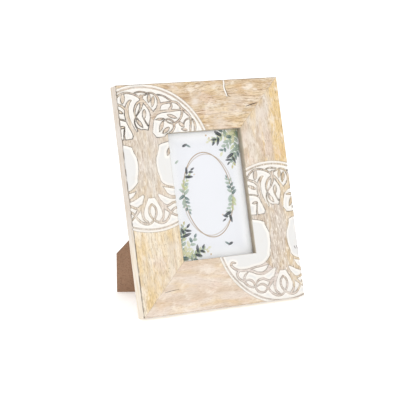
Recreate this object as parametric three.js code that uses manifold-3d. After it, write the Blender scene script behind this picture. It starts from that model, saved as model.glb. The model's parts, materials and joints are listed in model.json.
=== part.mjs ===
// A wooden picture frame: four mitred rails with two carved tree medallions, a glazed picture held in
// the rebate by turn buttons, and an easel strut hinged on the back board that stands it either way up.
// Millimetres. The frame is drawn upright, with X to the right, Y from the front face to the back and
// Z up from its lower left corner, and then leans back onto the strut.

import * as THREE from "three";
import { mergeVertices, toCreasedNormals } from "three/addons/utils/BufferGeometryUtils.js";
import Module from "manifold-3d";

const wasm = await Module();
wasm.setup();

// Rails
const frameWidth = 200;
const frameHeight = 250;
const railWidth = 55;
const railThickness = 15;
const arris = 0.6;
const lipThickness = 7.5;
const rebateWidth = 7;
const mitreGap = 0.3;
const leanDegrees = 15.46;

// Glass, picture and boards in the rebate, from the front to the back
const glassThickness = 2;
const printThickness = 0.3;
const cardThickness = 1.3;
const boardThickness = 3;
const seatGap = 0.15;
const edgeClearance = 0.8;
const printInset = 1.2;

// Carved medallions
const medallionRadius = 79.6;
const grooveWidth = 2.4;
const ringWidth = 1.6;
const carvingDepth = 1.2;
const medallionInset = 24.6;
const upperDrop = 79.2;
const lowerRise = 76.3;
const drawnRadius = 75.6;
const strokeStep = 2.5;
const leafBelly = 0.42;
const leafSteps = 4;
const tipSteps = 4;
const circleSteps = 80;

// Strut
const strutLength = 172.3;
const strutWidth = 63;
const strutThickness = 3;
const strutAngleDegrees = 40;
const strutCorner = 11;
const strutSetback = 0.8;
const footInset = 2.6;

// Strut hinge
const hingeWidth = 36;
const leafLength = 18;
const leafThickness = 0.8;
const leafCorner = 4;
const knuckleRadius = 1.8;
const middleKnuckle = 12;
const knuckleGap = 0.3;
const pinRadius = 0.9;
const pinHeadRadius = 1.5;
const pinHeadLength = 0.7;
const runningClearance = 0.09;
const leafGap = 0.1;
const stopLength = 7;
const hingeSteps = 18;
const cornerSteps = 5;

// Rivets
const rivetRadius = 1.2;
const rivetHeadRadius = 2.4;
const rivetHeadHeight = 0.9;
const rivetBulge = [0.9, 0.55];
const rivetCrown = [0.5, 0.9];
const rivetSpread = 11;
const rivetReach = 11;
const holeClearance = 0.12;

// Turn buttons and their screws
const buttonLength = 20;
const buttonWidth = 9;
const buttonThickness = 1.2;
const buttonOverlap = 6;
const turningGap = 0.3;
const sideButtonRise = 140;
const endButtonRun = 128;
const screwRadius = 1.4;
const screwLength = 9;
const screwTip = 2.5;
const screwHeadRadius = 3;
const screwHeadHeight = 1.8;
const screwRim = 0.9;
const screwCrown = [0.8, 0.9];
const recessWidth = 0.8;
const recessSpan = 3.4;
const recessDepth = 1;
const roundSteps = 18;
const buttonSteps = 10;

// V nails across the mitres
const nailLeg = 5;
const nailThickness = 0.6;
const nailDepth = 8;
const nailHalfAngleDegrees = 55;
const nailClearance = 0.15;
const nailSink = 0.3;
const outerNail = 22;
const innerNail = 50;

// Welding distance and crease angle of the meshes
const weldDistance = 1e-5;
const creaseAngle = Math.PI / 6;

// Worked-out sizes
const lean = THREE.MathUtils.degToRad(leanDegrees);
const strutAngle = THREE.MathUtils.degToRad(strutAngleDegrees);
const openingWidth = frameWidth - 2 * railWidth;
const openingHeight = frameHeight - 2 * railWidth;
const contentWidth = openingWidth + 2 * (rebateWidth - edgeClearance);
const contentHeight = openingHeight + 2 * (rebateWidth - edgeClearance);
const glassFront = lipThickness + seatGap;
const printFront = glassFront + glassThickness + seatGap;
const cardFront = printFront + printThickness + seatGap;
const boardFront = cardFront + cardThickness + seatGap;
const boardBack = boardFront + boardThickness;
const ringOuter = medallionRadius - grooveWidth;
const fieldRadius = ringOuter - ringWidth;

// The foot's level edge lies flat on the table when the strut stands open by this angle.
const strutOpening = 2 * Math.atan(Math.tan(lean) / Math.cos(strutAngle));

// Hinge stack, measured from the pin's axis along the frame's depth
const pinDepth = boardBack + leafGap + knuckleRadius;
const leafInner = -knuckleRadius;
const leafOuter = leafInner + leafThickness;
const strutInner = leafOuter + leafGap;
const strutOuter = strutInner + strutThickness;

// The pin's place: the open strut's inner foot edge is level with the edge that the frame stands on,
// where the underside meets the back arris.
const standDepth = railThickness - arris;
const footDepth = pinDepth + strutInner * Math.cos(strutOpening) + strutLength * Math.sin(strutOpening);
const footDrop = strutInner * Math.sin(strutOpening) - strutLength * Math.cos(strutOpening);
const pinRise = (footDepth - standDepth) * Math.tan(lean) - footDrop * Math.cos(strutAngle);
const pinAcross = footInset + strutLength * Math.sin(strutAngle);

const materials = {
  wood: new THREE.MeshStandardMaterial({ color: 0xd8bf94, roughness: 0.75 }),
  glass: new THREE.MeshStandardMaterial({
    color: 0xe8f2f0,
    roughness: 0.05,
    transparent: true,
    opacity: 0.25,
  }),
  paper: new THREE.MeshStandardMaterial({ color: 0xf4f6f8, roughness: 0.8 }),
  card: new THREE.MeshStandardMaterial({ color: 0xb9ac98, roughness: 0.9 }),
  fibreboard: new THREE.MeshStandardMaterial({ color: 0x9b7a63, roughness: 0.85 }),
  steel: new THREE.MeshStandardMaterial({ color: 0xb8b4ab, roughness: 0.35, metalness: 1 }),
  brass: new THREE.MeshStandardMaterial({ color: 0xc2a05a, roughness: 0.35, metalness: 1 }),
};

// The carved wood of one medallion, in millimetres from its centre. Each stroke lists points along a
// trunk, branch, tendril or root as [across, up, half width].
const trunk = [
  [0, -36, 3],
  [0, -31, 12.5],
  [0, -25, 13.6],
  [0, -19, 12.1],
  [0.2, -12, 11.1],
  [0.2, -4, 11],
  [0.4, 4, 12.2],
  [0.6, 10, 14.6],
  [0.5, 15, 16],
  [0.2, 18.4, 10],
  [0, 19.6, 2],
];

const crownBase = [
  [-34, 19.4, 2.2],
  [-27, 18.6, 2.8],
  [-20, 17.8, 3.6],
  [-11, 16.4, 5.4],
  [0, 14, 6],
  [11, 16.4, 5.4],
  [20, 17.9, 3.5],
  [27, 19, 3.2],
  [32, 20.6, 2.4],
];

const leftBranches = [
  // The main limb, ending in a hooked tip
  [[-5, 16, 5], [-8.6, 23, 3.4], [-10.6, 28.5, 3], [-13, 34, 2.9], [-15.4, 40, 2.9],
    [-16.8, 46.5, 2.9], [-16.5, 53, 2.3], [-15, 58.4, 1.8], [-13.2, 61.8, 1.4], [-10.4, 63.4, 0.8]],
  [[-17.2, 54, 1.6], [-20, 57, 1.4], [-24, 58.8, 1.2], [-29, 60.2, 1.1], [-33, 61, 1]],
  [[-17.8, 50.4, 1.2], [-20.6, 53.9, 1.1], [-25, 56, 1], [-32, 56.6, 1]],
  [[-18, 41, 1.2], [-22.5, 42.6, 0.9], [-27, 43.7, 0.9], [-33, 43.9, 0.8]],
  [[-22.9, 20, 1.3], [-22.7, 26, 1], [-21.8, 30.4, 0.9], [-21.2, 34.8, 0.8]],
  // The arch over the crown
  [[2.2, 64.6, 1.6], [-0.8, 66.7, 1.2], [-4.4, 68.9, 1.2], [-9, 70.6, 1.1], [-14, 71.5, 1.1],
    [-19, 71.1, 1.1], [-23.4, 69.4, 1.1], [-26.8, 66.7, 1.1], [-30, 62.6, 1.1]],
];

const middleTendrils = [
  // Two tendrils that leave the top together and cross
  [[2.6, 66.8, 2.1], [2.3, 62, 2.5], [1.7, 57.6, 1.9], [0, 53.6, 1.3], [-2.2, 50.2, 1],
    [-4.7, 47.2, 0.8], [-6.9, 44.5, 0.7], [-8.3, 41, 0.7], [-8.4, 37.4, 0.7], [-7.2, 34, 0.8],
    [-5.6, 32, 0.9]],
  [[0.6, 61.6, 1.4], [-2.8, 59.6, 1.5], [-5.6, 56, 1.5], [-7.2, 51.5, 1.3], [-7.3, 47.6, 0.9],
    [-6, 44.2, 0.8], [-4.2, 42.4, 0.8]],
  [[2.9, 42.4, 0.9], [4.4, 38.9, 0.8], [6.4, 35.2, 1]],
];

const rightBranches = [
  // The main limb, up to the meeting of the tendrils
  [[5, 16, 5], [7.5, 23, 3.4], [8.8, 29, 3.1], [10.4, 35, 2.7], [12, 40.5, 2.5], [13.5, 45.4, 3],
    [12.5, 49.6, 2.4], [10, 54, 1.9], [7.1, 58.3, 1.9], [4.4, 62, 1.8]],
  // The limb that curls back over the top
  [[14.6, 45, 3], [17.6, 48.4, 3.1], [21, 52, 2.7], [22.8, 56.5, 2.3], [22.7, 61.4, 1.9],
    [21.4, 65.3, 1.5], [18.8, 68.4, 1.1], [15.4, 70, 1], [11.8, 70.4, 0.8]],
  [[15, 46.6, 3.1], [21, 48.6, 2.2], [27, 49.2, 1.6], [33, 49.4, 1.6], [38.5, 49.6, 1.5],
    [44, 49.6, 1.1], [48.8, 50, 1.2]],
  // The great loop on the right
  [[21.5, 54, 2.4], [25, 57.2, 1.7], [30, 58.3, 1.3], [35.5, 58.6, 1.2], [40.5, 59, 1.3],
    [44.7, 57.4, 1.4], [47.7, 54.4, 1.5], [49.3, 50.5, 1.5], [49.3, 46.2, 1.4], [47.8, 42, 1.3],
    [45, 38.8, 1.3], [41.4, 36.4, 1.2], [38.2, 34.8, 1.6], [37.7, 31, 1.4], [35.4, 27.6, 1.4],
    [31.8, 24.6, 1.8], [28, 21.6, 2.6]],
  [[37, 57.8, 1], [37.6, 54.4, 1.3], [35.2, 51.2, 1.8]],
  [[22, 67.8, 0.8], [26.5, 67, 0.9], [31, 65, 1], [35, 62.4, 1], [38.6, 59.8, 1.1]],
  [[-4.6, 71.2, 0.7], [0, 71.9, 1], [4.5, 71.6, 1], [8.6, 70.6, 0.9], [11.9, 68.6, 0.9]],
  [[1.6, 66.2, 1], [5.2, 67.7, 0.9], [9, 68.7, 0.8]],
  // Crossed tendrils under the long branch
  [[26, 41.4, 0.8], [28.4, 39.2, 0.8], [31.2, 36.9, 0.8], [35, 35.3, 0.9], [38.2, 35, 1.2]],
  [[25.2, 38.4, 0.8], [28.2, 39.7, 0.9], [31.6, 40.4, 0.9], [35, 39.2, 1], [37.7, 36.8, 1.1]],
  // Outer strands beside the ring
  [[50, 52, 1], [53.2, 48, 1.7], [56.5, 44.6, 1.6], [58.7, 41.4, 1.3], [59, 37.5, 1.3],
    [58.2, 33, 1.2], [57.2, 28, 1.2], [56.5, 22, 1.2]],
  [[61.2, 38.8, 0.8], [63, 35, 1.3], [63.4, 31, 1.5], [62.8, 27, 1.3], [61.6, 22, 1]],
  [[49.4, 32.4, 0.8], [51, 36.4, 0.8], [53.6, 38.8, 0.9], [57.4, 39.6, 0.9]],
  [[32.4, 13.4, 0.8], [30.6, 11.6, 0.8], [29.2, 8.6, 0.9]],
];

const leftRoots = [
  // The root under the side window, curling up at its end
  [[-9, -27, 4.4], [-15.6, -31.6, 2.8], [-21, -34.2, 1.7], [-27, -35.7, 1.2], [-34, -36.4, 1.1],
    [-42, -37.9, 1.2], [-49, -38.5, 1.4], [-56, -37.4, 1.5], [-61.5, -34.3, 1.5], [-64, -31, 1.5],
    [-62.2, -28.6, 1.3], [-58.2, -29.2, 0.9]],
  [[-8, -32, 6], [-13.5, -36.6, 4], [-18.6, -41.2, 2.4], [-25, -44, 1.9], [-32, -43.2, 1.8],
    [-38, -40.6, 1.7], [-44, -39.2, 1.4]],
  // The outer strand of the knot
  [[-55, -38.2, 1.5], [-57.6, -41.6, 1.6], [-56.8, -45.6, 1.4], [-53.8, -48.6, 1.3],
    [-50.4, -50.6, 1.5], [-47.8, -53.8, 1.4], [-44.2, -56.6, 1.2], [-39.6, -58.4, 1]],
  [[-44.4, -41.6, 0.7], [-47.6, -43.6, 1.2], [-49.4, -46.8, 1.4], [-49.4, -50.4, 1.3]],
  [[-48.4, -50, 0.9], [-44, -49.4, 1.1], [-40.4, -50.9, 1.4], [-38, -53.8, 1.4], [-36.8, -57.2, 1.4],
    [-36.2, -60.4, 1.3], [-33.8, -63.3, 1.3], [-29.8, -64.9, 1.2], [-25.6, -64.7, 1.1],
    [-22.6, -62.2, 1.1], [-18.6, -57.8, 1.8], [-14.6, -52.6, 2.2]],
  [[-35.2, -54.6, 0.8], [-33, -52, 1.2], [-29.5, -50.4, 1.4], [-25, -50.4, 1.4], [-21, -52.3, 1.4],
    [-17, -53.2, 1.3], [-12.6, -50.8, 1.6]],
];

// The two strands that cross under the trunk and close the loop inside the drop-shaped window
const crossedRoots = [
  [[-34.2, -57.6, 0.7], [-31, -56.2, 1.1], [-27.4, -56, 1.3], [-24, -57.7, 1.3], [-21.3, -60.9, 1.2],
    [-18.6, -64.6, 1.3], [-15.2, -68, 1.4], [-10.6, -70.3, 1.4], [-5.8, -70.6, 1.3],
    [-1.6, -68.6, 1.1], [1.4, -65.2, 1.1], [3.4, -61.4, 1.3], [4, -57.2, 1.3], [2.8, -53, 1.2],
    [-0.2, -49.8, 1]],
  [[-0.2, -49.8, 1], [-3, -52.7, 1.2], [-4.3, -56.8, 1.3], [-3.9, -60.8, 1.3], [-2, -64.4, 1.2],
    [1, -67.4, 1.1], [5.2, -69.8, 1.4], [9.8, -70.7, 1.5], [14, -69.6, 1.4], [17, -67, 1.3],
    [19.2, -63.8, 1.2], [21.6, -60.6, 1.2], [24.4, -57.6, 1.3], [28, -56, 1.2], [33, -56.6, 0.9]],
];

const rightRoots = [
  [[9, -26, 4.4], [15, -30, 2.2], [20.4, -32.1, 1.3], [26, -33.6, 1.2], [35, -35.4, 1.1]],
  [[8, -32, 6], [13.5, -36.6, 4.2], [18.6, -41.4, 2.4], [24, -44, 2], [29, -44.2, 1.9],
    [35, -42.6, 1.8]],
  [[10, -48, 2.2], [14.4, -53.8, 2.2], [18.5, -58, 1.6], [22.6, -61.6, 1.3], [27, -64, 1.2],
    [33, -65, 1.1]],
  [[12.6, -50.8, 1.6], [17.4, -53.1, 1.3], [21.6, -52, 1.3], [25.4, -50.2, 1.3], [33, -50, 1.3]],
];

// The sides of the drop-shaped window under the trunk
const dropSides = [
  [[-3, -35.6, 3.4], [-6.2, -43, 2.6], [-9.2, -49, 2.3], [-11.8, -55, 2.1], [-12.3, -60.6, 1.6],
    [-11.1, -65.4, 1.4], [-7.6, -68.6, 1.3]],
  [[3, -35.6, 3.4], [6.6, -43, 2.5], [9.6, -49, 2.4], [12, -55, 2.1], [12.3, -60.6, 1.5],
    [11, -65.6, 1.5], [7.8, -69, 1.4]],
];

const strokes = [
  trunk,
  crownBase,
  ...leftBranches,
  ...middleTendrils,
  ...rightBranches,
  ...leftRoots,
  ...crossedRoots,
  ...rightRoots,
  ...dropSides,
];

// Each leaf runs from its stalk to its tip: [stalk across, stalk up, tip across, tip up, half width].
const leaves = [
  [-6.4, 42.6, 0.8, 32.8, 2.3],
  [4.7, 52.8, 2.6, 41.4, 2.5],
  [-6.8, 32.8, 0, 25.2, 2.3],
  [12.6, 69.4, 10.6, 59, 2.1],
  [17.4, 66.6, 14.1, 54.4, 2.4],
  [30.6, 45.4, 43.4, 40.6, 2],
  [27, 41.2, 16, 40.6, 1.4],
  [25.8, 39, 19.2, 26.8, 2.3],
  [32.2, 31.6, 22.6, 25, 2.3],
  [44, 36.6, 50.2, 30.4, 2.4],
  [53.8, 27, 45.6, 28.8, 1.7],
  [29.6, 9.6, 25.2, 0.4, 2.1],
  [-18.3, 70.6, -20.9, 59, 2.5],
  [-19.6, 49, -30.8, 54.4, 1.9],
  [-20.8, 35.2, -28, 33.8, 1.6],
];

// A closed geometry as a solid that can be joined and cut
function toSolid(geometry) {
  const bare = new THREE.BufferGeometry();
  bare.setAttribute("position", geometry.getAttribute("position"));
  bare.setIndex(geometry.getIndex());
  const merged = mergeVertices(bare, weldDistance);
  return new wasm.Manifold(
    new wasm.Mesh({
      numProp: 3,
      vertProperties: new Float32Array(merged.getAttribute("position").array),
      triVerts: new Uint32Array(merged.getIndex().array),
    }),
  );
}

// A solid as a geometry with creased normals
function toGeometry(solid) {
  const result = solid.getMesh();
  const geometry = new THREE.BufferGeometry();
  geometry.setAttribute("position", new THREE.BufferAttribute(result.vertProperties, 3));
  geometry.setIndex(new THREE.BufferAttribute(result.triVerts, 1));
  return toCreasedNormals(geometry, creaseAngle);
}

// A list of closed geometries joined into one solid
function joined(geometries) {
  return geometries.map(toSolid).reduce((whole, piece) => whole.add(piece));
}

// A shape drawn as seen from the front, made solid between two depths
function slab(shape, front, back, curveSegments = roundSteps) {
  const geometry = new THREE.ExtrudeGeometry(shape, {
    depth: back - front,
    bevelEnabled: false,
    curveSegments,
  });
  return geometry.rotateX(Math.PI / 2).translate(0, back, 0);
}

// A rectangle between two corners
function rectangle(left, low, right, high) {
  return new THREE.Shape([
    new THREE.Vector2(left, low),
    new THREE.Vector2(right, low),
    new THREE.Vector2(right, high),
    new THREE.Vector2(left, high),
  ]);
}

// A round bar along the frame's depth
function depthBar(radius, front, back, across = 0, up = 0) {
  const bar = new THREE.CylinderGeometry(radius, radius, back - front, roundSteps);
  return bar.translate(across, (front + back) / 2, up);
}

// A round bar along the hinge, which is the X axis there
function hingeBar(radius, left, right) {
  const bar = new THREE.CylinderGeometry(radius, radius, right - left, hingeSteps);
  return bar.rotateZ(Math.PI / 2).translate((left + right) / 2, 0, 0);
}

// A turned piece with its profile's points as [radius, depth], from its front end to its back end
function turned(profile) {
  const points = profile.map(([radius, depth]) => new THREE.Vector2(radius, depth));
  return new THREE.LatheGeometry(points, roundSteps);
}

// The outline of a stroke: its smoothed centre line set off to both sides, with round tips
function strokeShape(points) {
  const nodes = points.map(([across, up, half]) => new THREE.Vector3(across, up, half));
  const curve = new THREE.CatmullRomCurve3(nodes, false, "centripetal");
  const steps = Math.ceil(curve.getLength() / strokeStep);
  const line = curve.getSpacedPoints(steps);
  const headings = line.map((_, i) => {
    const before = line[Math.max(i - 1, 0)];
    const after = line[Math.min(i + 1, steps)];
    return Math.atan2(after.y - before.y, after.x - before.x);
  });
  const set = (i, turn) =>
    new THREE.Vector2(
      line[i].x + line[i].z * Math.cos(headings[i] + turn),
      line[i].y + line[i].z * Math.sin(headings[i] + turn),
    );
  const outline = [];
  for (let i = 0; i <= steps; i++) outline.push(set(i, -Math.PI / 2));
  for (let k = 1; k < tipSteps; k++) outline.push(set(steps, -Math.PI / 2 + (k * Math.PI) / tipSteps));
  for (let i = steps; i >= 0; i--) outline.push(set(i, Math.PI / 2));
  for (let k = 1; k < tipSteps; k++) outline.push(set(0, Math.PI / 2 + (k * Math.PI) / tipSteps));
  return new THREE.Shape(outline);
}

// A pointed leaf, widest a little before its middle
function leafShape([stalkAcross, stalkUp, tipAcross, tipUp, half]) {
  const stalk = new THREE.Vector2(stalkAcross, stalkUp);
  const tip = new THREE.Vector2(tipAcross, tipUp);
  const belly = stalk.clone().lerp(tip, leafBelly);
  const side = tip.clone().sub(stalk).normalize().rotateAround(new THREE.Vector2(), Math.PI / 2);
  const left = belly.clone().addScaledVector(side, 2 * half);
  const right = belly.clone().addScaledVector(side, -2 * half);
  const shape = new THREE.Shape();
  shape.moveTo(stalk.x, stalk.y);
  shape.quadraticCurveTo(left.x, left.y, tip.x, tip.y);
  shape.quadraticCurveTo(right.x, right.y, stalk.x, stalk.y);
  return shape;
}

// A ring between two radii, or a disc when the inner one is left out
function ringShape(outer, inner) {
  const shape = new THREE.Shape();
  shape.absarc(0, 0, outer, 0, 2 * Math.PI);
  if (inner) {
    const hole = new THREE.Path();
    hole.absarc(0, 0, inner, 0, 2 * Math.PI);
    shape.holes.push(hole);
  }
  return shape;
}

// What is carved away for one medallion: the field around the tree, and the groove round the ring
function medallionRecess() {
  const scale = fieldRadius / drawnRadius;
  const before = -2 * carvingDepth;
  const behind = 2 * carvingDepth;
  const tree = joined([
    ...strokes.map((points) => slab(strokeShape(points), before, behind).scale(scale, 1, scale)),
    ...leaves.map((leaf) => slab(leafShape(leaf), before, behind, leafSteps).scale(scale, 1, scale)),
  ]);
  const [field, groove] = [ringShape(fieldRadius), ringShape(medallionRadius, ringOuter)].map((shape) =>
    toSolid(slab(shape, -carvingDepth, carvingDepth, circleSteps)),
  );
  return toGeometry(field.subtract(tree).add(groove));
}

// One rail lying along Z, with its outer edge at X = 0, a rebate behind its inner edge and mitred ends
function railGeometry(length) {
  const inner = railWidth - rebateWidth;
  const profile = new THREE.Shape([
    new THREE.Vector2(0, arris),
    new THREE.Vector2(arris, 0),
    new THREE.Vector2(railWidth - arris, 0),
    new THREE.Vector2(railWidth, arris),
    new THREE.Vector2(railWidth, lipThickness),
    new THREE.Vector2(inner, lipThickness),
    new THREE.Vector2(inner, railThickness),
    new THREE.Vector2(arris, railThickness),
    new THREE.Vector2(0, railThickness - arris),
  ]);
  const rail = new THREE.ExtrudeGeometry(profile, { depth: length, bevelEnabled: false });
  const pull = mitreGap / Math.SQRT2;
  const position = rail.getAttribute("position");
  for (let i = 0; i < position.count; i++) {
    const cut = position.getX(i) + pull;
    position.setZ(i, position.getZ(i) === 0 ? cut : length - cut);
  }
  return rail;
}

// Where each rail lies: a quarter turn more about the frame's depth for each next side
const rails = {
  rail_left: railGeometry(frameHeight),
  rail_top: railGeometry(frameWidth).rotateY(Math.PI / 2).translate(0, 0, frameHeight),
  rail_right: railGeometry(frameHeight).rotateY(Math.PI).translate(frameWidth, 0, frameHeight),
  rail_bottom: railGeometry(frameWidth).rotateY(-Math.PI / 2).translate(frameWidth, 0, 0),
};

// Turn buttons: the screw's place on the rail's back, and the way the button points over the board
const screwInset = railWidth - rebateWidth + buttonOverlap - (buttonLength - buttonWidth / 2);
const buttons = {
  left: { across: screwInset, up: sideButtonRise, turn: 0 },
  right: { across: frameWidth - screwInset, up: frameHeight - sideButtonRise, turn: Math.PI },
  top: { across: frameWidth - endButtonRun, up: frameHeight - screwInset, turn: Math.PI / 2 },
  bottom: { across: endButtonRun, up: screwInset, turn: -Math.PI / 2 },
};

// V nails: two across each mitre, with the point towards the corner
const corners = {
  top_left: { across: 0, up: frameHeight, turn: Math.PI / 4 },
  top_right: { across: frameWidth, up: frameHeight, turn: (3 * Math.PI) / 4 },
  bottom_right: { across: frameWidth, up: 0, turn: (5 * Math.PI) / 4 },
  bottom_left: { across: 0, up: 0, turn: (7 * Math.PI) / 4 },
};

// A bent strip seen from the front: its point at the origin and two legs that open along +X
function nailShape(thickness, leg) {
  const half = THREE.MathUtils.degToRad(nailHalfAngleDegrees);
  const point = thickness / 2 / Math.sin(half);
  const end = (mirror, side) =>
    new THREE.Vector2(
      leg * Math.cos(half) - (side * thickness * Math.sin(half)) / 2,
      mirror * (leg * Math.sin(half) + (side * thickness * Math.cos(half)) / 2),
    );
  return new THREE.Shape([
    new THREE.Vector2(-point, 0),
    end(-1, 1),
    end(-1, -1),
    new THREE.Vector2(point, 0),
    end(1, -1),
    end(1, 1),
  ]);
}

// Every V nail's geometry by name, made a little larger on request for the slot that it sits in
function nailGeometries(extra, front, back) {
  const nails = {};
  for (const [corner, { across, up, turn }] of Object.entries(corners)) {
    for (const [spot, distance] of Object.entries({ outer: outerNail, inner: innerNail })) {
      const shape = nailShape(nailThickness + 2 * extra, nailLeg + extra);
      const nail = slab(shape, front, back).translate(distance, 0, 0);
      nails[`v_nail_${corner}_${spot}`] = nail.rotateY(turn).translate(across, 0, up);
    }
  }
  return nails;
}

// A turn button pointing along +X, with its screw hole at the origin
function buttonGeometry() {
  const end = buttonWidth / 2;
  const shape = new THREE.Shape();
  shape.absarc(buttonLength - 2 * end, 0, end, -Math.PI / 2, Math.PI / 2);
  shape.absarc(0, 0, end, Math.PI / 2, (3 * Math.PI) / 2);
  const hole = new THREE.Path();
  hole.absarc(0, 0, screwRadius + turningGap, 0, 2 * Math.PI);
  shape.holes.push(hole);
  return slab(shape, 0, buttonThickness, buttonSteps);
}

// A pan-head screw with its point at the front and a cross recess in its head
function screwGeometry() {
  const body = turned([
    [0, -screwLength],
    [screwRadius, screwTip - screwLength],
    [screwRadius, 0],
    [screwHeadRadius, 0],
    [screwHeadRadius, screwRim],
    [screwHeadRadius * screwCrown[0], screwHeadHeight * screwCrown[1]],
    [0, screwHeadHeight],
  ]);
  const slot = new THREE.BoxGeometry(recessSpan, 2 * recessDepth, recessWidth);
  slot.translate(0, screwHeadHeight, 0);
  const cross = joined([slot, slot.clone().rotateY(Math.PI / 2)]);
  return toGeometry(toSolid(body).subtract(cross));
}

// A rivet from its tail to the seat of its domed head
function rivetGeometry(tail, seat) {
  return turned([
    [0, tail],
    [rivetRadius, tail],
    [rivetRadius, seat],
    [rivetHeadRadius, seat],
    [rivetHeadRadius * rivetBulge[0], seat + rivetHeadHeight * rivetBulge[1]],
    [rivetHeadRadius * rivetCrown[0], seat + rivetHeadHeight * rivetCrown[1]],
    [0, seat + rivetHeadHeight],
  ]);
}

// The rivets' places on the hinge: two on the board's leaf and two on the strut's
const rivetPlaces = {
  board_left: [-rivetSpread, rivetReach],
  board_right: [rivetSpread, rivetReach],
  strut_left: [-rivetSpread, -rivetReach],
  strut_right: [rivetSpread, -rivetReach],
};

// Bars through both leaves for the rivets' holes on one side of the hinge
const rivetHoles = (side) =>
  Object.keys(rivetPlaces)
    .filter((name) => name.startsWith(side))
    .map((name) => {
      const [across, along] = rivetPlaces[name];
      return depthBar(rivetRadius + holeClearance, -railThickness, railThickness, across, along);
    });

// A hinge leaf's plate, from its straight edge near the pin to its rounded corners
function leafPlate(near, far) {
  const side = hingeWidth / 2;
  const shape = new THREE.Shape();
  shape.moveTo(-side, near);
  shape.lineTo(side, near);
  shape.absarc(side - leafCorner, far - leafCorner, leafCorner, 0, Math.PI / 2);
  shape.absarc(leafCorner - side, far - leafCorner, leafCorner, Math.PI / 2, Math.PI);
  return slab(shape, leafInner, leafOuter, cornerSteps);
}

// The leaf on the board, with the two outer knuckles
function boardLeafGeometry() {
  const outer = hingeWidth / 2;
  const inner = middleKnuckle / 2 + knuckleGap;
  const near = knuckleRadius + knuckleGap;
  const whole = joined([
    leafPlate(near, leafLength),
    slab(rectangle(inner, 0, outer, near + leafGap), leafInner, leafOuter),
    slab(rectangle(-outer, 0, -inner, near + leafGap), leafInner, leafOuter),
    hingeBar(knuckleRadius, inner, outer),
    hingeBar(knuckleRadius, -outer, -inner),
  ]);
  const bore = hingeBar(pinRadius + runningClearance, -hingeWidth, hingeWidth);
  return toGeometry(whole.subtract(joined([bore, ...rivetHoles("board")])));
}

// The leaf on the strut, with the middle knuckle and the stop that meets the board's leaf
function strutLeafGeometry() {
  const half = middleKnuckle / 2;
  const near = knuckleRadius + knuckleGap;
  const stopFront = leafOuter + knuckleGap;
  const stop = slab(rectangle(-half, 0, half, stopLength), stopFront, stopFront + leafThickness);
  const whole = joined([
    leafPlate(near, leafLength).rotateY(Math.PI),
    slab(rectangle(-half, -near - leafGap, half, 0), leafInner, leafOuter),
    hingeBar(knuckleRadius, -half, half),
    stop.rotateX(-strutOpening),
  ]);
  const bore = hingeBar(pinRadius + runningClearance, -hingeWidth, hingeWidth);
  return toGeometry(whole.subtract(joined([bore, ...rivetHoles("strut")])));
}

// The hinge pin with a head pressed on each end
function pinGeometry() {
  const seat = hingeWidth / 2 + leafGap;
  const end = seat + pinHeadLength;
  return toGeometry(
    joined([
      hingeBar(pinRadius, -end, end),
      hingeBar(pinHeadRadius, seat, end),
      hingeBar(pinHeadRadius, -end, -seat),
    ]),
  );
}

// The strut folded flat: a straight board whose pointed foot has an edge for each way up
function strutGeometry() {
  const half = strutWidth / 2;
  const top = -knuckleRadius - strutSetback;
  const shape = new THREE.Shape([
    new THREE.Vector2(0, -strutLength),
    new THREE.Vector2(half, half * Math.tan(strutAngle) - strutLength),
    new THREE.Vector2(half, top - strutCorner),
    new THREE.Vector2(half - strutCorner, top),
    new THREE.Vector2(strutCorner - half, top),
    new THREE.Vector2(-half, top - strutCorner),
    new THREE.Vector2(-half, half / Math.tan(strutAngle) - strutLength),
  ]);
  const board = toSolid(slab(shape, strutInner, strutOuter));
  return toGeometry(board.subtract(joined(rivetHoles("strut"))));
}

// A sheet that fills the rebate, between two depths
function sheetGeometry(front, back, inset = 0) {
  const width = contentWidth - 2 * inset;
  const height = contentHeight - 2 * inset;
  const sheet = new THREE.BoxGeometry(width, back - front, height);
  return sheet.translate(frameWidth / 2, (front + back) / 2, frameHeight / 2);
}

// A named mesh with a material of its own
function piece(name, geometry, material) {
  const mesh = new THREE.Mesh(geometry, material.clone());
  mesh.name = name;
  return mesh;
}

const frame = new THREE.Group();
frame.rotation.x = -lean;

// Rails, cut by the carving, the V nails' slots and the screws' pilot holes
const recess = medallionRecess();
const upperRecess = recess.clone().translate(medallionInset, 0, frameHeight - upperDrop);
const lowerRecess = recess.clone().translate(frameWidth - medallionInset, 0, lowerRise);
const nailFront = railThickness - nailSink - nailDepth;
const nailSlots = nailGeometries(nailClearance, nailFront - nailClearance, railThickness + nailSink);
const screwSeat = railThickness + 2 * turningGap + buttonThickness;
const pilotHoles = Object.values(buttons).map(({ across, up }) =>
  depthBar(screwRadius + holeClearance, screwSeat - screwLength - holeClearance, screwSeat, across, up),
);
const cuts = joined([upperRecess, lowerRecess, ...Object.values(nailSlots), ...pilotHoles]);
for (const [name, geometry] of Object.entries(rails)) {
  frame.add(piece(name, toGeometry(toSolid(geometry).subtract(cuts)), materials.wood));
}
const nails = nailGeometries(0, nailFront, railThickness - nailSink);
for (const [name, geometry] of Object.entries(nails)) {
  frame.add(piece(name, geometry, materials.steel));
}

// What lies in the rebate
const hingePlace = new THREE.Matrix4().makeRotationY(strutAngle);
hingePlace.setPosition(pinAcross, pinDepth, pinRise);
const boardHoles = joined(rivetHoles("board").map((bar) => bar.applyMatrix4(hingePlace)));
const board = toSolid(sheetGeometry(boardFront, boardBack)).subtract(boardHoles);
const glass = sheetGeometry(glassFront, glassFront + glassThickness);
const print = sheetGeometry(printFront, printFront + printThickness, printInset);
const card = sheetGeometry(cardFront, cardFront + cardThickness);
frame.add(piece("glass_pane", glass, materials.glass));
frame.add(piece("picture_print", print, materials.paper));
frame.add(piece("backing_card", card, materials.card));
frame.add(piece("back_board", toGeometry(board), materials.fibreboard));

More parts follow.
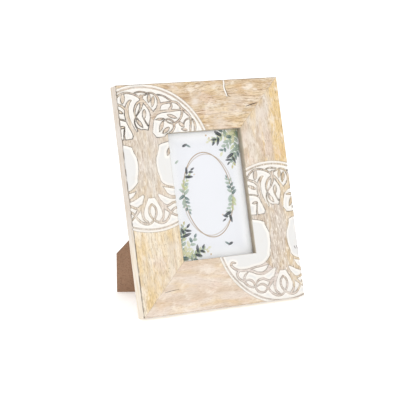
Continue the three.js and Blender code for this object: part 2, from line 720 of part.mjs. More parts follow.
// Turn buttons, each under its own screw
for (const [side, { across, up, turn }] of Object.entries(buttons)) {
  const button = piece(`turn_button_${side}`, buttonGeometry(), materials.brass);
  button.position.set(across, railThickness + turningGap, up);
  button.rotation.y = turn;
  const screw = piece(`turn_button_screw_${side}`, screwGeometry(), materials.brass);
  screw.position.set(across, screwSeat, up);
  frame.add(button, screw);
}

// The hinge on the board, and the strut that swings on its pin
const hinge = new THREE.Group();
hinge.position.set(pinAcross, pinDepth, pinRise);
hinge.rotation.y = strutAngle;
const strut = new THREE.Group();
strut.rotation.x = strutOpening;
hinge.add(piece("hinge_board_leaf", boardLeafGeometry(), materials.steel));
hinge.add(piece("hinge_pin", pinGeometry(), materials.steel));
strut.add(piece("hinge_strut_leaf", strutLeafGeometry(), materials.steel));
strut.add(piece("strut_board", strutGeometry(), materials.fibreboard));
for (const [name, [across, along]] of Object.entries(rivetPlaces)) {
  const onBoard = name.startsWith("board");
  const tail = onBoard ? boardFront - pinDepth : leafInner;
  const seat = (onBoard ? leafOuter : strutOuter) + leafGap;
  const rivet = piece(`rivet_${name}`, rivetGeometry(tail, seat), materials.steel);
  rivet.position.set(across, 0, along);
  (onBoard ? hinge : strut).add(rivet);
}
hinge.add(strut);
frame.add(hinge);

// The part's origin is on the table, in the middle of the space that the standing frame takes up.
const part = new THREE.Group();
part.add(frame);
const bounds = new THREE.Box3().setFromObject(part, true);
const middle = bounds.getCenter(new THREE.Vector3());
frame.position.set(-middle.x, -middle.y, -bounds.min.z);

export default part;
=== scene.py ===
"""A wooden picture frame with two carved tree medallions, leaning back on its easel strut.

Shapes are worked out in the frame's own millimetres: across from its left edge, back from its
face and up from its lower edge. FramePlace and HingePlace carry them into the row frame.
"""

from __future__ import annotations

import json
import logging
import math
from dataclasses import dataclass, replace
from enum import Enum
from typing import Callable

import bpy
import numpy as np
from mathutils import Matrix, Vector


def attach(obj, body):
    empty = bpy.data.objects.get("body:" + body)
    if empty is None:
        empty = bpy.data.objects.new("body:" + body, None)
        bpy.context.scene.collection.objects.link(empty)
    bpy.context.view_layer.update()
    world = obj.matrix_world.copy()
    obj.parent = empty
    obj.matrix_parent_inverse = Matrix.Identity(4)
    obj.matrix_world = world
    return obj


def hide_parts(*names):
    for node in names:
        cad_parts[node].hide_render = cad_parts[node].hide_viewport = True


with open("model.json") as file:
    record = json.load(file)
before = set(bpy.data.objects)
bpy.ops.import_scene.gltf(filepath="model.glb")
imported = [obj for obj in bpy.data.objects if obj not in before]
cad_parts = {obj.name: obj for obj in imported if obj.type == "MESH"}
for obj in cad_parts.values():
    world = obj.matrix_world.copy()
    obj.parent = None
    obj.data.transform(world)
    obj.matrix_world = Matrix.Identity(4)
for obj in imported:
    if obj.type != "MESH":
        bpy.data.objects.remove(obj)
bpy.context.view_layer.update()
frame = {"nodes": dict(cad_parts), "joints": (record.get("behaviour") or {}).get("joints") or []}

Array = np.ndarray

MM = 0.001

log = logging.getLogger("picture_frame")


class Side(Enum):
    """The four rails of the frame, by the side on which each lies."""

    LEFT = "left"
    TOP = "top"
    RIGHT = "right"
    BOTTOM = "bottom"


class Closing(Enum):
    """How a grid of points is closed into a solid."""

    CAPPED = "each end of the sweep gets a flat face"
    LOOPED = "the sweep's section comes back to its start"


# Places and measures


def joint(name: str) -> dict:
    """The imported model's joint of that name.

    Args:
        name: The joint's name.

    Returns:
        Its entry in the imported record.
    """
    return next(entry for entry in frame["joints"] if entry["name"] == name)


def node_points(name: str) -> Array:
    """The vertices of a CAD node at rest.

    Args:
        name: The node's name.

    Returns:
        An array of points in metres, one row for each vertex.
    """
    vertices = frame["nodes"][name].data.vertices
    flat = np.empty(len(vertices) * 3, np.float32)
    vertices.foreach_get("co", flat)
    return flat.reshape(-1, 3).astype(float)


@dataclass(frozen=True)
class SideLine:
    """How one side of the frame runs.

    Attributes:
        start: The corner where it starts, across and up.
        along: Its direction.
        inward: The direction from it to the opening.
        length: Its outer length.
    """

    start: tuple[float, float]
    along: tuple[float, float]
    inward: tuple[float, float]
    length: float

    def at(self, ahead: Array, across: Array) -> tuple[Array, Array]:
        """The places across and up the frame, from those along the side and inward from it."""
        return tuple(self.start[k] + self.along[k] * ahead + self.inward[k] * across for k in (0, 1))


@dataclass(frozen=True)
class FramePlace:
    """Where the leaning frame lies, and its outer sizes in millimetres.

    Attributes:
        corner: The lower left corner of the face, in metres.
        axes: The directions across, back and up, one in each row.
        width: The frame's width.
        height: The frame's height.
        thickness: The rails' thickness.
        rail: The rails' width.
    """

    corner: Array
    axes: Array
    width: float
    height: float
    thickness: float
    rail: float

    @classmethod
    def measured(cls) -> FramePlace:
        """The place and sizes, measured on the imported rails."""
        back = np.array(joint("button_left_turn")["axis"], float)
        axes = np.array([[1.0, 0.0, 0.0], back, [0.0, -back[2], back[1]]])
        points = np.vstack([node_points(f"rail_{side.value}") for side in Side]) @ axes.T
        low = points.min(axis=0)
        width, thickness, height = (points.max(axis=0) - low) / MM
        rail = np.ptp(node_points("rail_left")[:, 0]) / MM
        return cls(low @ axes, axes, width, height, thickness, round(rail, 2))

    def to_row(self, local: Array) -> Array:
        """Points of the frame in the row frame.

        Args:
            local: Points as across, back and up, in millimetres.

        Returns:
            The same points in metres.
        """
        return self.corner + local @ self.axes * MM

    def to_local(self, row: Array) -> Array:
        """Points of the row frame, in metres, as across, back and up in millimetres."""
        return (row - self.corner) @ self.axes.T / MM

    def line(self, side: Side) -> SideLine:
        """How one side of the frame runs."""
        width, height = self.width, self.height
        return {
            Side.LEFT: SideLine((0, 0), (0, 1), (1, 0), height),
            Side.TOP: SideLine((0, height), (1, 0), (0, -1), width),
            Side.RIGHT: SideLine((width, height), (0, -1), (-1, 0), height),
            Side.BOTTOM: SideLine((width, 0), (-1, 0), (0, 1), width),
        }[side]


@dataclass(frozen=True)
class HingePlace:
    """Where the strut's hinge lies, and how far the strut stands open.

    Attributes:
        pin: The middle of the pin, in metres.
        along: The pin's direction.
        back: The direction away from the back board.
        opening: The strut's angle from folded, in radians.
    """

    pin: Array
    along: Array
    back: Array
    opening: float

    @classmethod
    def measured(cls, place: FramePlace) -> HingePlace:
        """The hinge's place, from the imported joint.

        The foot's level edge lies flat when the tangent of half the opening is the lean's
        tangent over the cosine of the pin's slant.

        Args:
            place: Where the frame lies.

        Returns:
            The place, with the strut's opening.
        """
        entry = joint("strut_fold")
        along = np.array(entry["axis"], float)
        back, up = place.axes[1:]
        lean = math.atan2(up[1], up[2])
        opening = 2 * math.atan(math.tan(lean) / along[0])
        return cls(np.array(entry["pos_m"], float), along, back, opening)

    def turned(self, local: Array, turn: float) -> Array:
        """Points of the hinge in the row frame.

        Args:
            local: Points as along the pin, back, and up the folded strut, in millimetres.
            turn: How far they are turned about the pin, in radians.

        Returns:
            The same points in metres.
        """
        rise = np.cross(self.along, self.back)
        back = math.cos(turn) * self.back + math.sin(turn) * rise
        up = math.cos(turn) * rise - math.sin(turn) * self.back
        return self.pin + local @ np.array([self.along, back, up]) * MM

    def board_to_row(self, local: Array) -> Array:
        """Points that stay with the board, in the row frame."""
        return self.turned(local, 0.0)

    def strut_to_row(self, local: Array) -> Array:
        """Points that turn with the strut, in the row frame with the strut open."""
        return self.turned(local, self.opening)


# Meshes


@dataclass
class Shell:
    """A closed surface: its points, and its faces as lists of corners.

    Attributes:
        points: The points, one in each row.
        faces: The corners of each face.
        fields: Values for each point, by the name of the attribute that will hold them.
    """

    points: Array
    faces: list[list[int]]
    fields: dict[str, Array]

    @classmethod
    def swept(cls, grid: Array, closing: Closing, **fields: Array) -> Shell:
        """A shell from a grid whose rows go round it and whose columns go along it.

        Args:
            grid: Points as rows by columns by three.
            closing: Whether the ends are capped or the columns come back to their start.
            **fields: Values for each point of the grid.

        Returns:
            The shell. Each cell of the grid is a face of four corners.
        """
        rows, columns = grid.shape[:2]
        steps = columns if closing is Closing.LOOPED else columns - 1
        row, column = np.meshgrid(np.arange(rows), np.arange(steps), indexing="ij")
        next_row = (row + 1) % rows
        next_column = (column + 1) % columns
        here, beyond = row * columns, next_row * columns
        corners = [here + column, here + next_column, beyond + next_column, beyond + column]
        faces = np.stack(corners, axis=-1).reshape(-1, 4).tolist()
        if closing is Closing.CAPPED:
            first = np.arange(rows) * columns
            faces.append(first.tolist())
            faces.append((first[::-1] + columns - 1).tolist())
        kept = {name: value.reshape(rows * columns, -1) for name, value in fields.items()}
        return cls(grid.reshape(-1, 3), faces, kept).outward()

    def __add__(self, other: Shell) -> Shell:
        """Both shells as one."""
        shift = len(self.points)
        moved = [[corner + shift for corner in face] for face in other.faces]
        fields = {name: np.vstack([value, other.fields[name]]) for name, value in self.fields.items()}
        return Shell(np.vstack([self.points, other.points]), self.faces + moved, fields)

    def outward(self) -> Shell:
        """The same shell with its faces pointing outwards."""
        if self.volume() < 0:
            self.faces = [face[::-1] for face in self.faces]
        return self

    def volume(self) -> float:
        """The enclosed volume, which is below nought where the faces point inwards.

        Each face adds a third of its first corner's dot product with its area vector.
        """
        total = 0.0
        for size in {len(face) for face in self.faces}:
            corners = self.points[np.array([face for face in self.faces if len(face) == size])]
            areas = np.cross(corners, np.roll(corners, -1, axis=1)).sum(axis=1) / 2
            total += float((corners[:, 0] * areas).sum()) / 3
        return total

    def to_object(self, name: str, material: bpy.types.Material, crease: float = 32.0) -> bpy.types.Object:
        """The shell as an object at the origin.

        Args:
            name: The object's name.
            material: Its material.
            crease: Edges that bend by more than this angle, in degrees, stay sharp.

        Returns:
            The new object.
        """
        mesh = bpy.data.meshes.new(name)
        mesh.from_pydata(self.points.tolist(), [], self.faces)
        kinds = {1: ("FLOAT", "value"), 3: ("FLOAT_VECTOR", "vector"), 4: ("FLOAT_COLOR", "color")}
        for title, values in self.fields.items():
            kind, key = kinds[values.shape[1]]
            layer = mesh.attributes.new(title, kind, "POINT")
            layer.data.foreach_set(key, values.astype(np.float32).ravel())
        mesh.shade_smooth()
        mesh.set_sharp_from_angle(angle=math.radians(crease))
        mesh.materials.append(material)
        obj = bpy.data.objects.new(name, mesh)
        bpy.context.scene.collection.objects.link(obj)
        return obj


def smooth(value: Array, low: float, high: float) -> Array:
    """A rise from 0 at low to 1 at high that starts and ends level: 3t² - 2t³."""
    t = np.clip((value - low) / (high - low), 0, 1)
    return t * t * (3 - 2 * t)


def run(*ends: tuple[float, float, int]) -> Array:
    """Evenly spaced values over several stretches, each without its end.

    Args:
        *ends: For each stretch its start, its end and its number of steps.

    Returns:
        The values of all the stretches in a row.
    """
    return np.concatenate([np.linspace(low, high, count, endpoint=False) for low, high, count in ends])


def revolved(profile: Array, steps: int) -> Array:
    """A profile turned about the second local axis.

    Each point (r, d) becomes (r cos a, d, r sin a) for angles a all the way round.

    Args:
        profile: Points as radius and place along the axis.
        steps: The number of angles.

    Returns:
        A grid of points, with the angles as rows.
    """
    angle = run((0, 2 * math.pi, steps))[:, None]
    radius = profile[None, :, 0]
    depth = np.broadcast_to(profile[None, :, 1], (steps, len(profile)))
    return np.stack([radius * np.cos(angle), depth, radius * np.sin(angle)], axis=-1)


def easing(radius: float, steps: int) -> tuple[Array, Array]:
    """How far a rounded edge is set in and down: r(1 - sin b) and r(1 - cos b) over a quarter turn."""
    bend = np.linspace(0, math.pi / 2, steps + 1)
    return radius * (1 - np.sin(bend)), radius * (1 - np.cos(bend))


def bisectors(outline: Array) -> Array:
    """The inward bisector at each corner of an outline, long enough to set both sides in by 1."""
    ahead = np.roll(outline, -1, axis=0) - outline
    ahead /= np.linalg.norm(ahead, axis=1, keepdims=True)
    behind = np.roll(ahead, 1, axis=0)
    after = np.stack([-ahead[:, 1], ahead[:, 0]], axis=1)
    before = np.stack([-behind[:, 1], behind[:, 0]], axis=1)
    inward = (after + before) / (1 + (after * before).sum(axis=1, keepdims=True))
    x, y = outline[:, 0], outline[:, 1]
    return inward if (x * np.roll(y, -1) - np.roll(x, -1) * y).sum() > 0 else -inward


@dataclass(frozen=True)
class Plate:
    """A flat plate with rounded edges.

    Attributes:
        outline: Its outline in order, as across and up.
        front: The depth of its front.
        back: The depth of its back.
        ease: The radius of its edges.
        steps: The number of steps round each edge.
    """

    outline: Array
    front: float
    back: float
    ease: float
    steps: int = 3

    def shell(self, to_row: Callable[[Array], Array]) -> Shell:
        """The plate's surface, whose edge attribute is 1 on its sides and 0 on its faces.

        Each column of the grid is the outline set in along its bisectors by the easing, at the
        depth that belongs to it.

        Args:
            to_row: What carries points into the row frame.

        Returns:
            The closed surface.
        """
        inset, rise = easing(self.ease, self.steps)
        side = np.linspace(0, 1, self.steps + 1)
        insets = np.concatenate([inset, inset[::-1]])
        depths = np.concatenate([self.front + rise, self.back - rise[::-1]])
        sides = np.concatenate([side, side[::-1]])
        flat = self.outline[:, None] + bisectors(self.outline)[:, None] * insets[None, :, None]
        depth = np.broadcast_to(depths, flat.shape[:2])
        grid = np.stack([flat[..., 0], depth, flat[..., 1]], axis=-1)
        return Shell.swept(to_row(grid), Closing.CAPPED, edge=np.broadcast_to(sides, depth.shape))


def polygon(
    corners: list[tuple[float, float]], radii: list[float] | None = None, arc: int = 7
) -> Array:
    """A polygon's outline, with its corners rounded.

    Each rounded corner becomes points of an arc that touches both of its sides.

    Args:
        corners: The corners in order.
        radii: The radius at each corner, all nought when left out.
        arc: The number of points of a rounded corner.

    Returns:
        The outline's points.
    """
    points = []
    ends = np.array(corners, float)
    for k, corner in enumerate(ends):
        radius = radii[k] if radii else 0.0
        if radius == 0:
            points.append([corner])
            continue
        before, after = ends[k - 1] - corner, ends[(k + 1) % len(ends)] - corner
        into, out = before / np.linalg.norm(before), after / np.linalg.norm(after)
        half = math.acos(float(np.clip(into @ out, -1, 1))) / 2
        middle = corner + (into + out) / np.linalg.norm(into + out) * radius / math.sin(half)
        spread = np.linspace(half - math.pi / 2, math.pi / 2 - half, arc)[:, None]
        axis = (corner - middle) / np.linalg.norm(corner - middle)
        side = np.array([-axis[1], axis[0]])
        turn = 1.0 if side @ into < 0 else -1.0
        points.append(middle + radius * (np.cos(spread) * axis + turn * np.sin(spread) * side))
    return np.vstack(points)


# The carved tree, in millimetres from the middle of a medallion. Each stroke has points along a
# trunk, branch, tendril or root as across, up and half width.

TRUNK = [
    (0, -36, 3), (0, -31, 12.5), (0, -25, 13.6), (0, -19, 12.1), (0.2, -12, 11.1), (0.2, -4, 11),
    (0.4, 4, 12.2), (0.6, 10, 14.6), (0.5, 15, 16), (0.2, 18.4, 10), (0, 19.6, 2),
]

CROWN_BASE = [
    (-34, 19.4, 2.2), (-27, 18.6, 2.8), (-20, 17.8, 3.6), (-11, 16.4, 5.4), (0, 14, 6), (11, 16.4, 5.4),
    (20, 17.9, 3.5), (27, 19, 3.2), (32, 20.6, 2.4),
]

LEFT_BRANCHES = [
    [(-5, 16, 5), (-8.6, 23, 3.4), (-10.6, 28.5, 3), (-13, 34, 2.9), (-15.4, 40, 2.9), (-16.8, 46.5, 2.9),
     (-16.5, 52.3, 2.7), (-15.6, 56.4, 2.3), (-13.4, 60.3, 1.9), (-11.4, 62.4, 1.4), (-9.6, 63.2, 0.7)],
    [(-18.2, 54.2, 1.6), (-21, 57, 1.5), (-25, 59, 1.3), (-30, 60.7, 1.2), (-34, 61.8, 1)],
    [(-18, 41, 1.2), (-22.5, 42.6, 0.9), (-27, 43.7, 0.9), (-33, 43.9, 0.8)],
    [(-22.9, 20, 1.3), (-22.7, 26, 1), (-21.8, 30.4, 0.9), (-21.2, 34.8, 0.8)],
    [(2.2, 64.6, 1.6), (-0.8, 66.7, 1.2), (-4.4, 68.9, 1.2), (-9, 70.6, 1.1), (-14, 71.5, 1.1),
     (-19, 71.1, 1.1), (-23.4, 69.4, 1.1), (-26.8, 66.7, 1.1), (-30, 62.6, 1.1)],
]

MIDDLE_TENDRILS = [
    [(2.6, 66.8, 2.1), (2.3, 62, 2.5), (1.7, 57.6, 1.9), (0, 53.6, 1.3), (-2.2, 50.2, 1), (-4.7, 47.2, 0.8),
     (-6.9, 44.5, 0.7), (-8.3, 41, 0.7), (-8.4, 37.4, 0.7), (-7.2, 34, 0.8), (-5.6, 32, 0.9)],
    [(0.6, 61.6, 1.4), (-2.8, 59.6, 1.5), (-5.6, 56, 1.5), (-7.2, 51.5, 1.3), (-7.3, 47.6, 0.9),
     (-6, 44.2, 0.8), (-4.2, 42.4, 0.8)],
    [(2.9, 42.4, 0.9), (4.4, 38.9, 0.8), (6.4, 35.2, 1)],
]

RIGHT_BRANCHES = [
    [(5, 16, 5), (7.5, 23, 3.4), (8.8, 29, 3.1), (10.4, 35, 2.7), (12, 40.5, 2.5), (13.5, 45.4, 3),
     (12.5, 49.6, 2.4), (10, 54, 1.9), (7.1, 58.3, 1.9), (4.4, 62, 1.8)],
    [(14.6, 45, 3), (17.6, 48.4, 3.1), (21, 52, 2.7), (22.8, 56.5, 2.3), (22.7, 61.4, 1.9), (21.4, 65.3, 1.5),
     (18.8, 68.4, 1.1), (15.4, 70, 1), (11.8, 70.4, 0.8)],
    [(15, 46.6, 3.1), (21, 48.6, 2.2), (27, 49.2, 1.6), (33, 49.4, 1.6), (38.5, 49.6, 1.5), (44, 49.6, 1.1),
     (48.8, 50, 1.2)],
    [(21.5, 54, 2.4), (25, 57.2, 1.7), (30, 58.3, 1.3), (35.5, 58.6, 1.2), (40.5, 59, 1.3), (44.7, 57.4, 1.4),
     (47.7, 54.4, 1.5), (49.3, 50.5, 1.5), (49.3, 46.2, 1.4), (47.8, 42, 1.3), (45, 38.8, 1.3),
     (41.4, 36.4, 1.2), (38.2, 34.8, 1.6), (37.7, 31, 1.4), (35.4, 27.6, 1.4), (31.8, 24.6, 1.8),
     (28, 21.6, 2.6)],
    [(37, 57.8, 1), (37.6, 54.4, 1.3), (35.2, 51.2, 1.8)],
    [(22, 67.8, 0.8), (26.5, 67, 0.9), (31, 65, 1), (35, 62.4, 1), (38.6, 59.8, 1.1)],
    [(-4.6, 71.2, 0.7), (0, 71.9, 1), (4.5, 71.6, 1), (8.6, 70.6, 0.9), (11.9, 68.6, 0.9)],
    [(1.6, 66.2, 1), (5.2, 67.7, 0.9), (9, 68.7, 0.8)],
    [(26, 41.4, 0.8), (28.4, 39.2, 0.8), (31.2, 36.9, 0.8), (35, 35.3, 0.9), (38.2, 35, 1.2)],
    [(25.2, 38.4, 0.8), (28.2, 39.7, 0.9), (31.6, 40.4, 0.9), (35, 39.2, 1), (37.7, 36.8, 1.1)],
    [(50, 52, 1), (53.2, 48, 1.7), (56.5, 44.6, 1.6), (58.7, 41.4, 1.3), (59, 37.5, 1.3), (58.2, 33, 1.2),
     (57.2, 28, 1.2), (56.5, 22, 1.2)],
    [(61.2, 38.8, 0.8), (63, 35, 1.3), (63.4, 31, 1.5), (62.8, 27, 1.3), (61.6, 22, 1)],
    [(49.4, 32.4, 0.8), (51, 36.4, 0.8), (53.6, 38.8, 0.9), (57.4, 39.6, 0.9)],
    [(32.4, 13.4, 0.8), (30.6, 11.6, 0.8), (29.2, 8.6, 0.9)],
]

LEFT_ROOTS = [
    [(-9, -27, 4.4), (-15.6, -31.6, 2.8), (-21, -34.2, 1.7), (-27, -35.7, 1.2), (-34, -36.4, 1.1),
     (-42, -37.9, 1.2), (-49, -38.5, 1.4), (-56, -37.4, 1.5), (-61.5, -34.3, 1.5), (-64, -31, 1.5),
     (-62.2, -28.6, 1.3), (-58.2, -29.2, 0.9)],
    [(-8, -32, 6), (-13.5, -36.6, 4), (-18.6, -41.2, 2.4), (-25, -44, 1.9), (-32, -43.2, 1.8),
     (-38, -40.6, 1.7), (-44, -39.2, 1.4)],
    [(-55, -38.2, 1.5), (-57.6, -41.6, 1.6), (-56.8, -45.6, 1.4), (-53.8, -48.6, 1.3), (-50.4, -50.6, 1.5),
     (-47.8, -53.8, 1.4), (-44.2, -56.6, 1.2), (-39.6, -58.4, 1)],
    [(-44.4, -41.6, 0.7), (-47.6, -43.6, 1.2), (-49.4, -46.8, 1.4), (-49.4, -50.4, 1.3)],
    [(-48.4, -50, 0.9), (-44, -49.4, 1.1), (-40.4, -50.9, 1.4), (-38, -53.8, 1.4), (-36.8, -57.2, 1.4),
     (-36.2, -60.4, 1.3), (-33.8, -63.3, 1.3), (-29.8, -64.9, 1.2), (-25.6, -64.7, 1.1), (-22.6, -62.2, 1.1),
     (-18.6, -57.8, 1.8), (-14.6, -52.6, 2.2)],
    [(-35.2, -54.6, 0.8), (-33, -52, 1.2), (-29.5, -50.4, 1.4), (-25, -50.4, 1.4), (-21, -52.3, 1.4),
     (-17, -53.2, 1.3), (-12.6, -50.8, 1.6)],
]

CROSSED_ROOTS = [
    [(-34.2, -57.6, 0.7), (-31, -56.2, 1.1), (-27.4, -56, 1.3), (-24, -57.7, 1.3), (-21.3, -60.9, 1.2),
     (-18.6, -64.6, 1.3), (-15.2, -68, 1.4), (-10.6, -70.3, 1.4), (-5.8, -70.6, 1.3), (-1.6, -68.6, 1.1),
     (1.4, -65.2, 1.1), (3.4, -61.4, 1.3), (4, -57.2, 1.3), (2.8, -53, 1.2), (-0.2, -49.8, 1)],
    [(-0.2, -49.8, 1), (-3, -52.7, 1.2), (-4.3, -56.8, 1.3), (-3.9, -60.8, 1.3), (-2, -64.4, 1.2),
     (1, -67.4, 1.1), (5.2, -69.8, 1.4), (9.8, -70.7, 1.5), (14, -69.6, 1.4), (17, -67, 1.3),
     (19.2, -63.8, 1.2), (21.6, -60.6, 1.2), (24.4, -57.6, 1.3), (28, -56, 1.2), (33, -56.6, 0.9)],
]

RIGHT_ROOTS = [
    [(9, -26, 4.4), (15, -30, 2.2), (20.4, -32.1, 1.3), (26, -33.6, 1.2), (35, -35.4, 1.1)],
    [(8, -32, 6), (13.5, -36.6, 4.2), (18.6, -41.4, 2.4), (24, -44, 2), (29, -44.2, 1.9), (35, -42.6, 1.8)],
    [(10, -48, 2.2), (14.4, -53.8, 2.2), (18.5, -58, 1.6), (22.6, -61.6, 1.3), (27, -64, 1.2),
     (33, -65, 1.1)],
    [(12.6, -50.8, 1.6), (17.4, -53.1, 1.3), (21.6, -52, 1.3), (25.4, -50.2, 1.3), (33, -50, 1.3)],
]

DROP_SIDES = [
    [(-3, -35.6, 3.4), (-6.2, -43, 2.6), (-9.2, -49, 2.3), (-11.8, -55, 2.1), (-12.3, -60.6, 1.6),
     (-11.1, -65.4, 1.4), (-7.6, -68.6, 1.3)],
    [(3, -35.6, 3.4), (6.6, -43, 2.5), (9.6, -49, 2.4), (12, -55, 2.1), (12.3, -60.6, 1.5), (11, -65.6, 1.5),
     (7.8, -69, 1.4)],
]

STROKES = [
    TRUNK, CROWN_BASE, *LEFT_BRANCHES, *MIDDLE_TENDRILS, *RIGHT_BRANCHES,
    *LEFT_ROOTS, *CROSSED_ROOTS, *RIGHT_ROOTS, *DROP_SIDES,
]

# Each leaf runs from its stalk to its tip: stalk across and up, tip across and up, half width.
LEAVES = [
    (-6.4, 42.6, 0.8, 32.8, 2.3), (4.7, 52.8, 2.6, 41.4, 2.5), (-6.8, 32.8, 0, 25.2, 2.3),
    (12.6, 69.4, 10.6, 59, 2.1), (17.4, 66.6, 14.1, 54.4, 2.4), (30.6, 45.4, 43.4, 40.6, 2),
    (27, 41.2, 16, 40.6, 1.4), (25.8, 39, 19.2, 26.8, 2.3), (32.2, 31.6, 22.6, 25, 2.3),
    (44, 36.6, 50.2, 30.4, 2.4), (53.8, 27, 45.6, 28.8, 1.7), (29.6, 9.6, 25.2, 0.4, 2.1),
    (-18.3, 70.8, -20.7, 59.2, 2.8), (-20.4, 49.2, -31.2, 54.6, 1.9), (-20.8, 35.2, -28, 33.8, 1.6),
]


def centre_line(stroke: list[tuple[float, float, float]], steps: int = 6) -> Array:
    """A stroke's points joined by one smooth line.

    The line is a centripetal Catmull-Rom curve: between two points it is the cubic with their
    places and slopes, where a slope weighs its neighbours by the square roots of the distances.

    Args:
        stroke: Points as across, up and half width.
        steps: The number of steps from each point to the next.

    Returns:
        Closely spaced points as across, up and half width.
    """
    points = np.array(stroke, float)
    ends = np.vstack([2 * points[0] - points[1], points, 2 * points[-1] - points[-2]])
    gaps = np.sqrt(np.linalg.norm(np.diff(ends, axis=0), axis=1))[:, None]
    change = np.diff(ends, axis=0) / gaps
    wide = (ends[2:] - ends[:-2]) / (gaps[1:] + gaps[:-1])
    slopes = change[:-1] - wide + change[1:]
    start, end = ends[1:-2], ends[2:-1]
    leave = slopes[:-1] * gaps[1:-1]
    arrive = slopes[1:] * gaps[1:-1]
    t = np.linspace(0, 1, steps, endpoint=False)[None, :, None]
    start, end, leave, arrive = (value[:, None] for value in (start, end, leave, arrive))
    curve = (
        start
        + leave * t
        + (3 * (end - start) - 2 * leave - arrive) * t**2
        + (2 * (start - end) + leave + arrive) * t**3
    )
    return np.vstack([curve.reshape(-1, 3), points[-1]])


def leaf_line(leaf: tuple[float, ...], belly: float = 0.42, steps: int = 14) -> Array:
    """A leaf as a line of points with half widths.

    Its edges are the parabolas from stalk to tip that bulge before the middle: at t the leaf
    lies 2t(1 - t)b + t² of the way to its tip, with a half width of 4ht(1 - t).

    Args:
        leaf: The stalk across and up, the tip across and up, and the half width.
        belly: Where it is widest, as a share b of its length.
        steps: The number of points.

    Returns:
        Points as across, up and half width.
    """
    stalk, tip, half = np.array(leaf[:2]), np.array(leaf[2:4]), leaf[4]
    t = np.linspace(0, 1, steps)[:, None]
    way = 2 * t * (1 - t) * belly + t**2
    return np.hstack([stalk + (tip - stalk) * way, 4 * half * t * (1 - t)])


def distance_to_lines(x: Array, y: Array, lines: list[Array], reach: float) -> Array:
    """The distance from each point to the nearest of several tapering lines.

    A line's pieces are tapering bars with round ends: the distance is that to the nearest point
    of the piece's axis, less the half width there.

    Args:
        x: The points' places across.
        y: The points' places up.
        lines: Lines of points as across, up and half width.
        reach: The greatest distance that matters.

    Returns:
        The distances, below nought inside a line and at most the reach.
    """
    nearest = np.full(x.shape, reach)
    for line in lines:
        margin = reach + line[:, 2].max()
        low, high = line[:, :2].min(axis=0) - margin, line[:, :2].max(axis=0) + margin
        near = (x > low[0]) & (x < high[0]) & (y > low[1]) & (y < high[1])
        if not near.any():
            continue
        point = np.stack([x[near], y[near]], axis=-1)[:, None]
        start, step = line[None, :-1, :2], np.diff(line[:, :2], axis=0)[None]
        share = ((point - start) * step).sum(axis=-1) / np.maximum((step**2).sum(axis=-1), 1e-9)
        share = np.clip(share, 0, 1)
        away = np.linalg.norm(point - start - share[..., None] * step, axis=-1)
        half = line[None, :-1, 2] + share * np.diff(line[:, 2])[None]
        nearest[near] = np.minimum(nearest[near], (away - half).min(axis=1))
    return nearest


# The greatest distance from a carved edge or crack that the shading needs
REACH = 4.0


@dataclass(frozen=True)
class Medallion:
    """A round carving of a tree inside a ring, cut down to a flat field.

    Attributes:
        across: The middle's place across the frame.
        up: The middle's place up the frame.
        radius: The outer radius, at the outside of the groove.
        scorch: How much darker the crown's edges are burnt than the roots'.
        groove: The width of the groove round the ring.
        ring: The width of the ring left standing.
    """

    across: float
    up: float
    radius: float
    scorch: float
    groove: float = 2.4
    ring: float = 1.6

    def cut(self, across: Array, up: Array) -> Array:
        """How far inside the cut-away field or groove each point lies.

        Args:
            across: Places across the frame.
            up: Places up the frame.

        Returns:
            The distance to the nearest edge of the carving, below nought on standing wood.
        """
        x, y = across - self.across, up - self.up
        lines = [centre_line(stroke) for stroke in STROKES] + [leaf_line(leaf) for leaf in LEAVES]
        tree = distance_to_lines(x, y, lines, REACH)
        out = np.hypot(x, y)
        ring_outer = self.radius - self.groove
        field = np.minimum(ring_outer - self.ring - out, tree)
        groove = np.minimum(out - ring_outer, self.radius - out)
        return np.maximum(field, groove)

    def inside(self, across: Array, up: Array) -> Array:
        """How far inside the carving's outer edge each point lies."""
        return self.radius - np.hypot(across - self.across, up - self.up)


# Finishes

Socket = bpy.types.NodeSocket
Source = Socket | float | tuple[float, ...]


def seen(colour: str) -> tuple[float, float, float, float]:
    """A colour as it is seen, such as "d8bf94", as linear light.

    Args:
        colour: Two hexadecimal digits each for red, green and blue.

    Returns:
        Red, green, blue and an alpha of 1.
    """
    parts = [int(colour[i : i + 2], 16) / 255 for i in (0, 2, 4)]
    linear = [c / 12.92 if c <= 0.04045 else ((c + 0.055) / 1.055) ** 2.4 for c in parts]
    return (*linear, 1.0)


@dataclass(frozen=True)
class Layer:
    """A soft random pattern that is laid over a colour.

    Attributes:
        size: The length of its grains each way.
        low: The pattern's value where it begins to show.
        high: The value where it shows in full.
        strength: How strong it is there.
        tint: Its colour.
        shift: How far the pattern is moved, to give another one.
        swirl: How far it is swirled.
    """

    size: tuple[float, float, float]
    low: float
    high: float
    strength: float
    tint: str
    shift: float
    swirl: float = 0.2


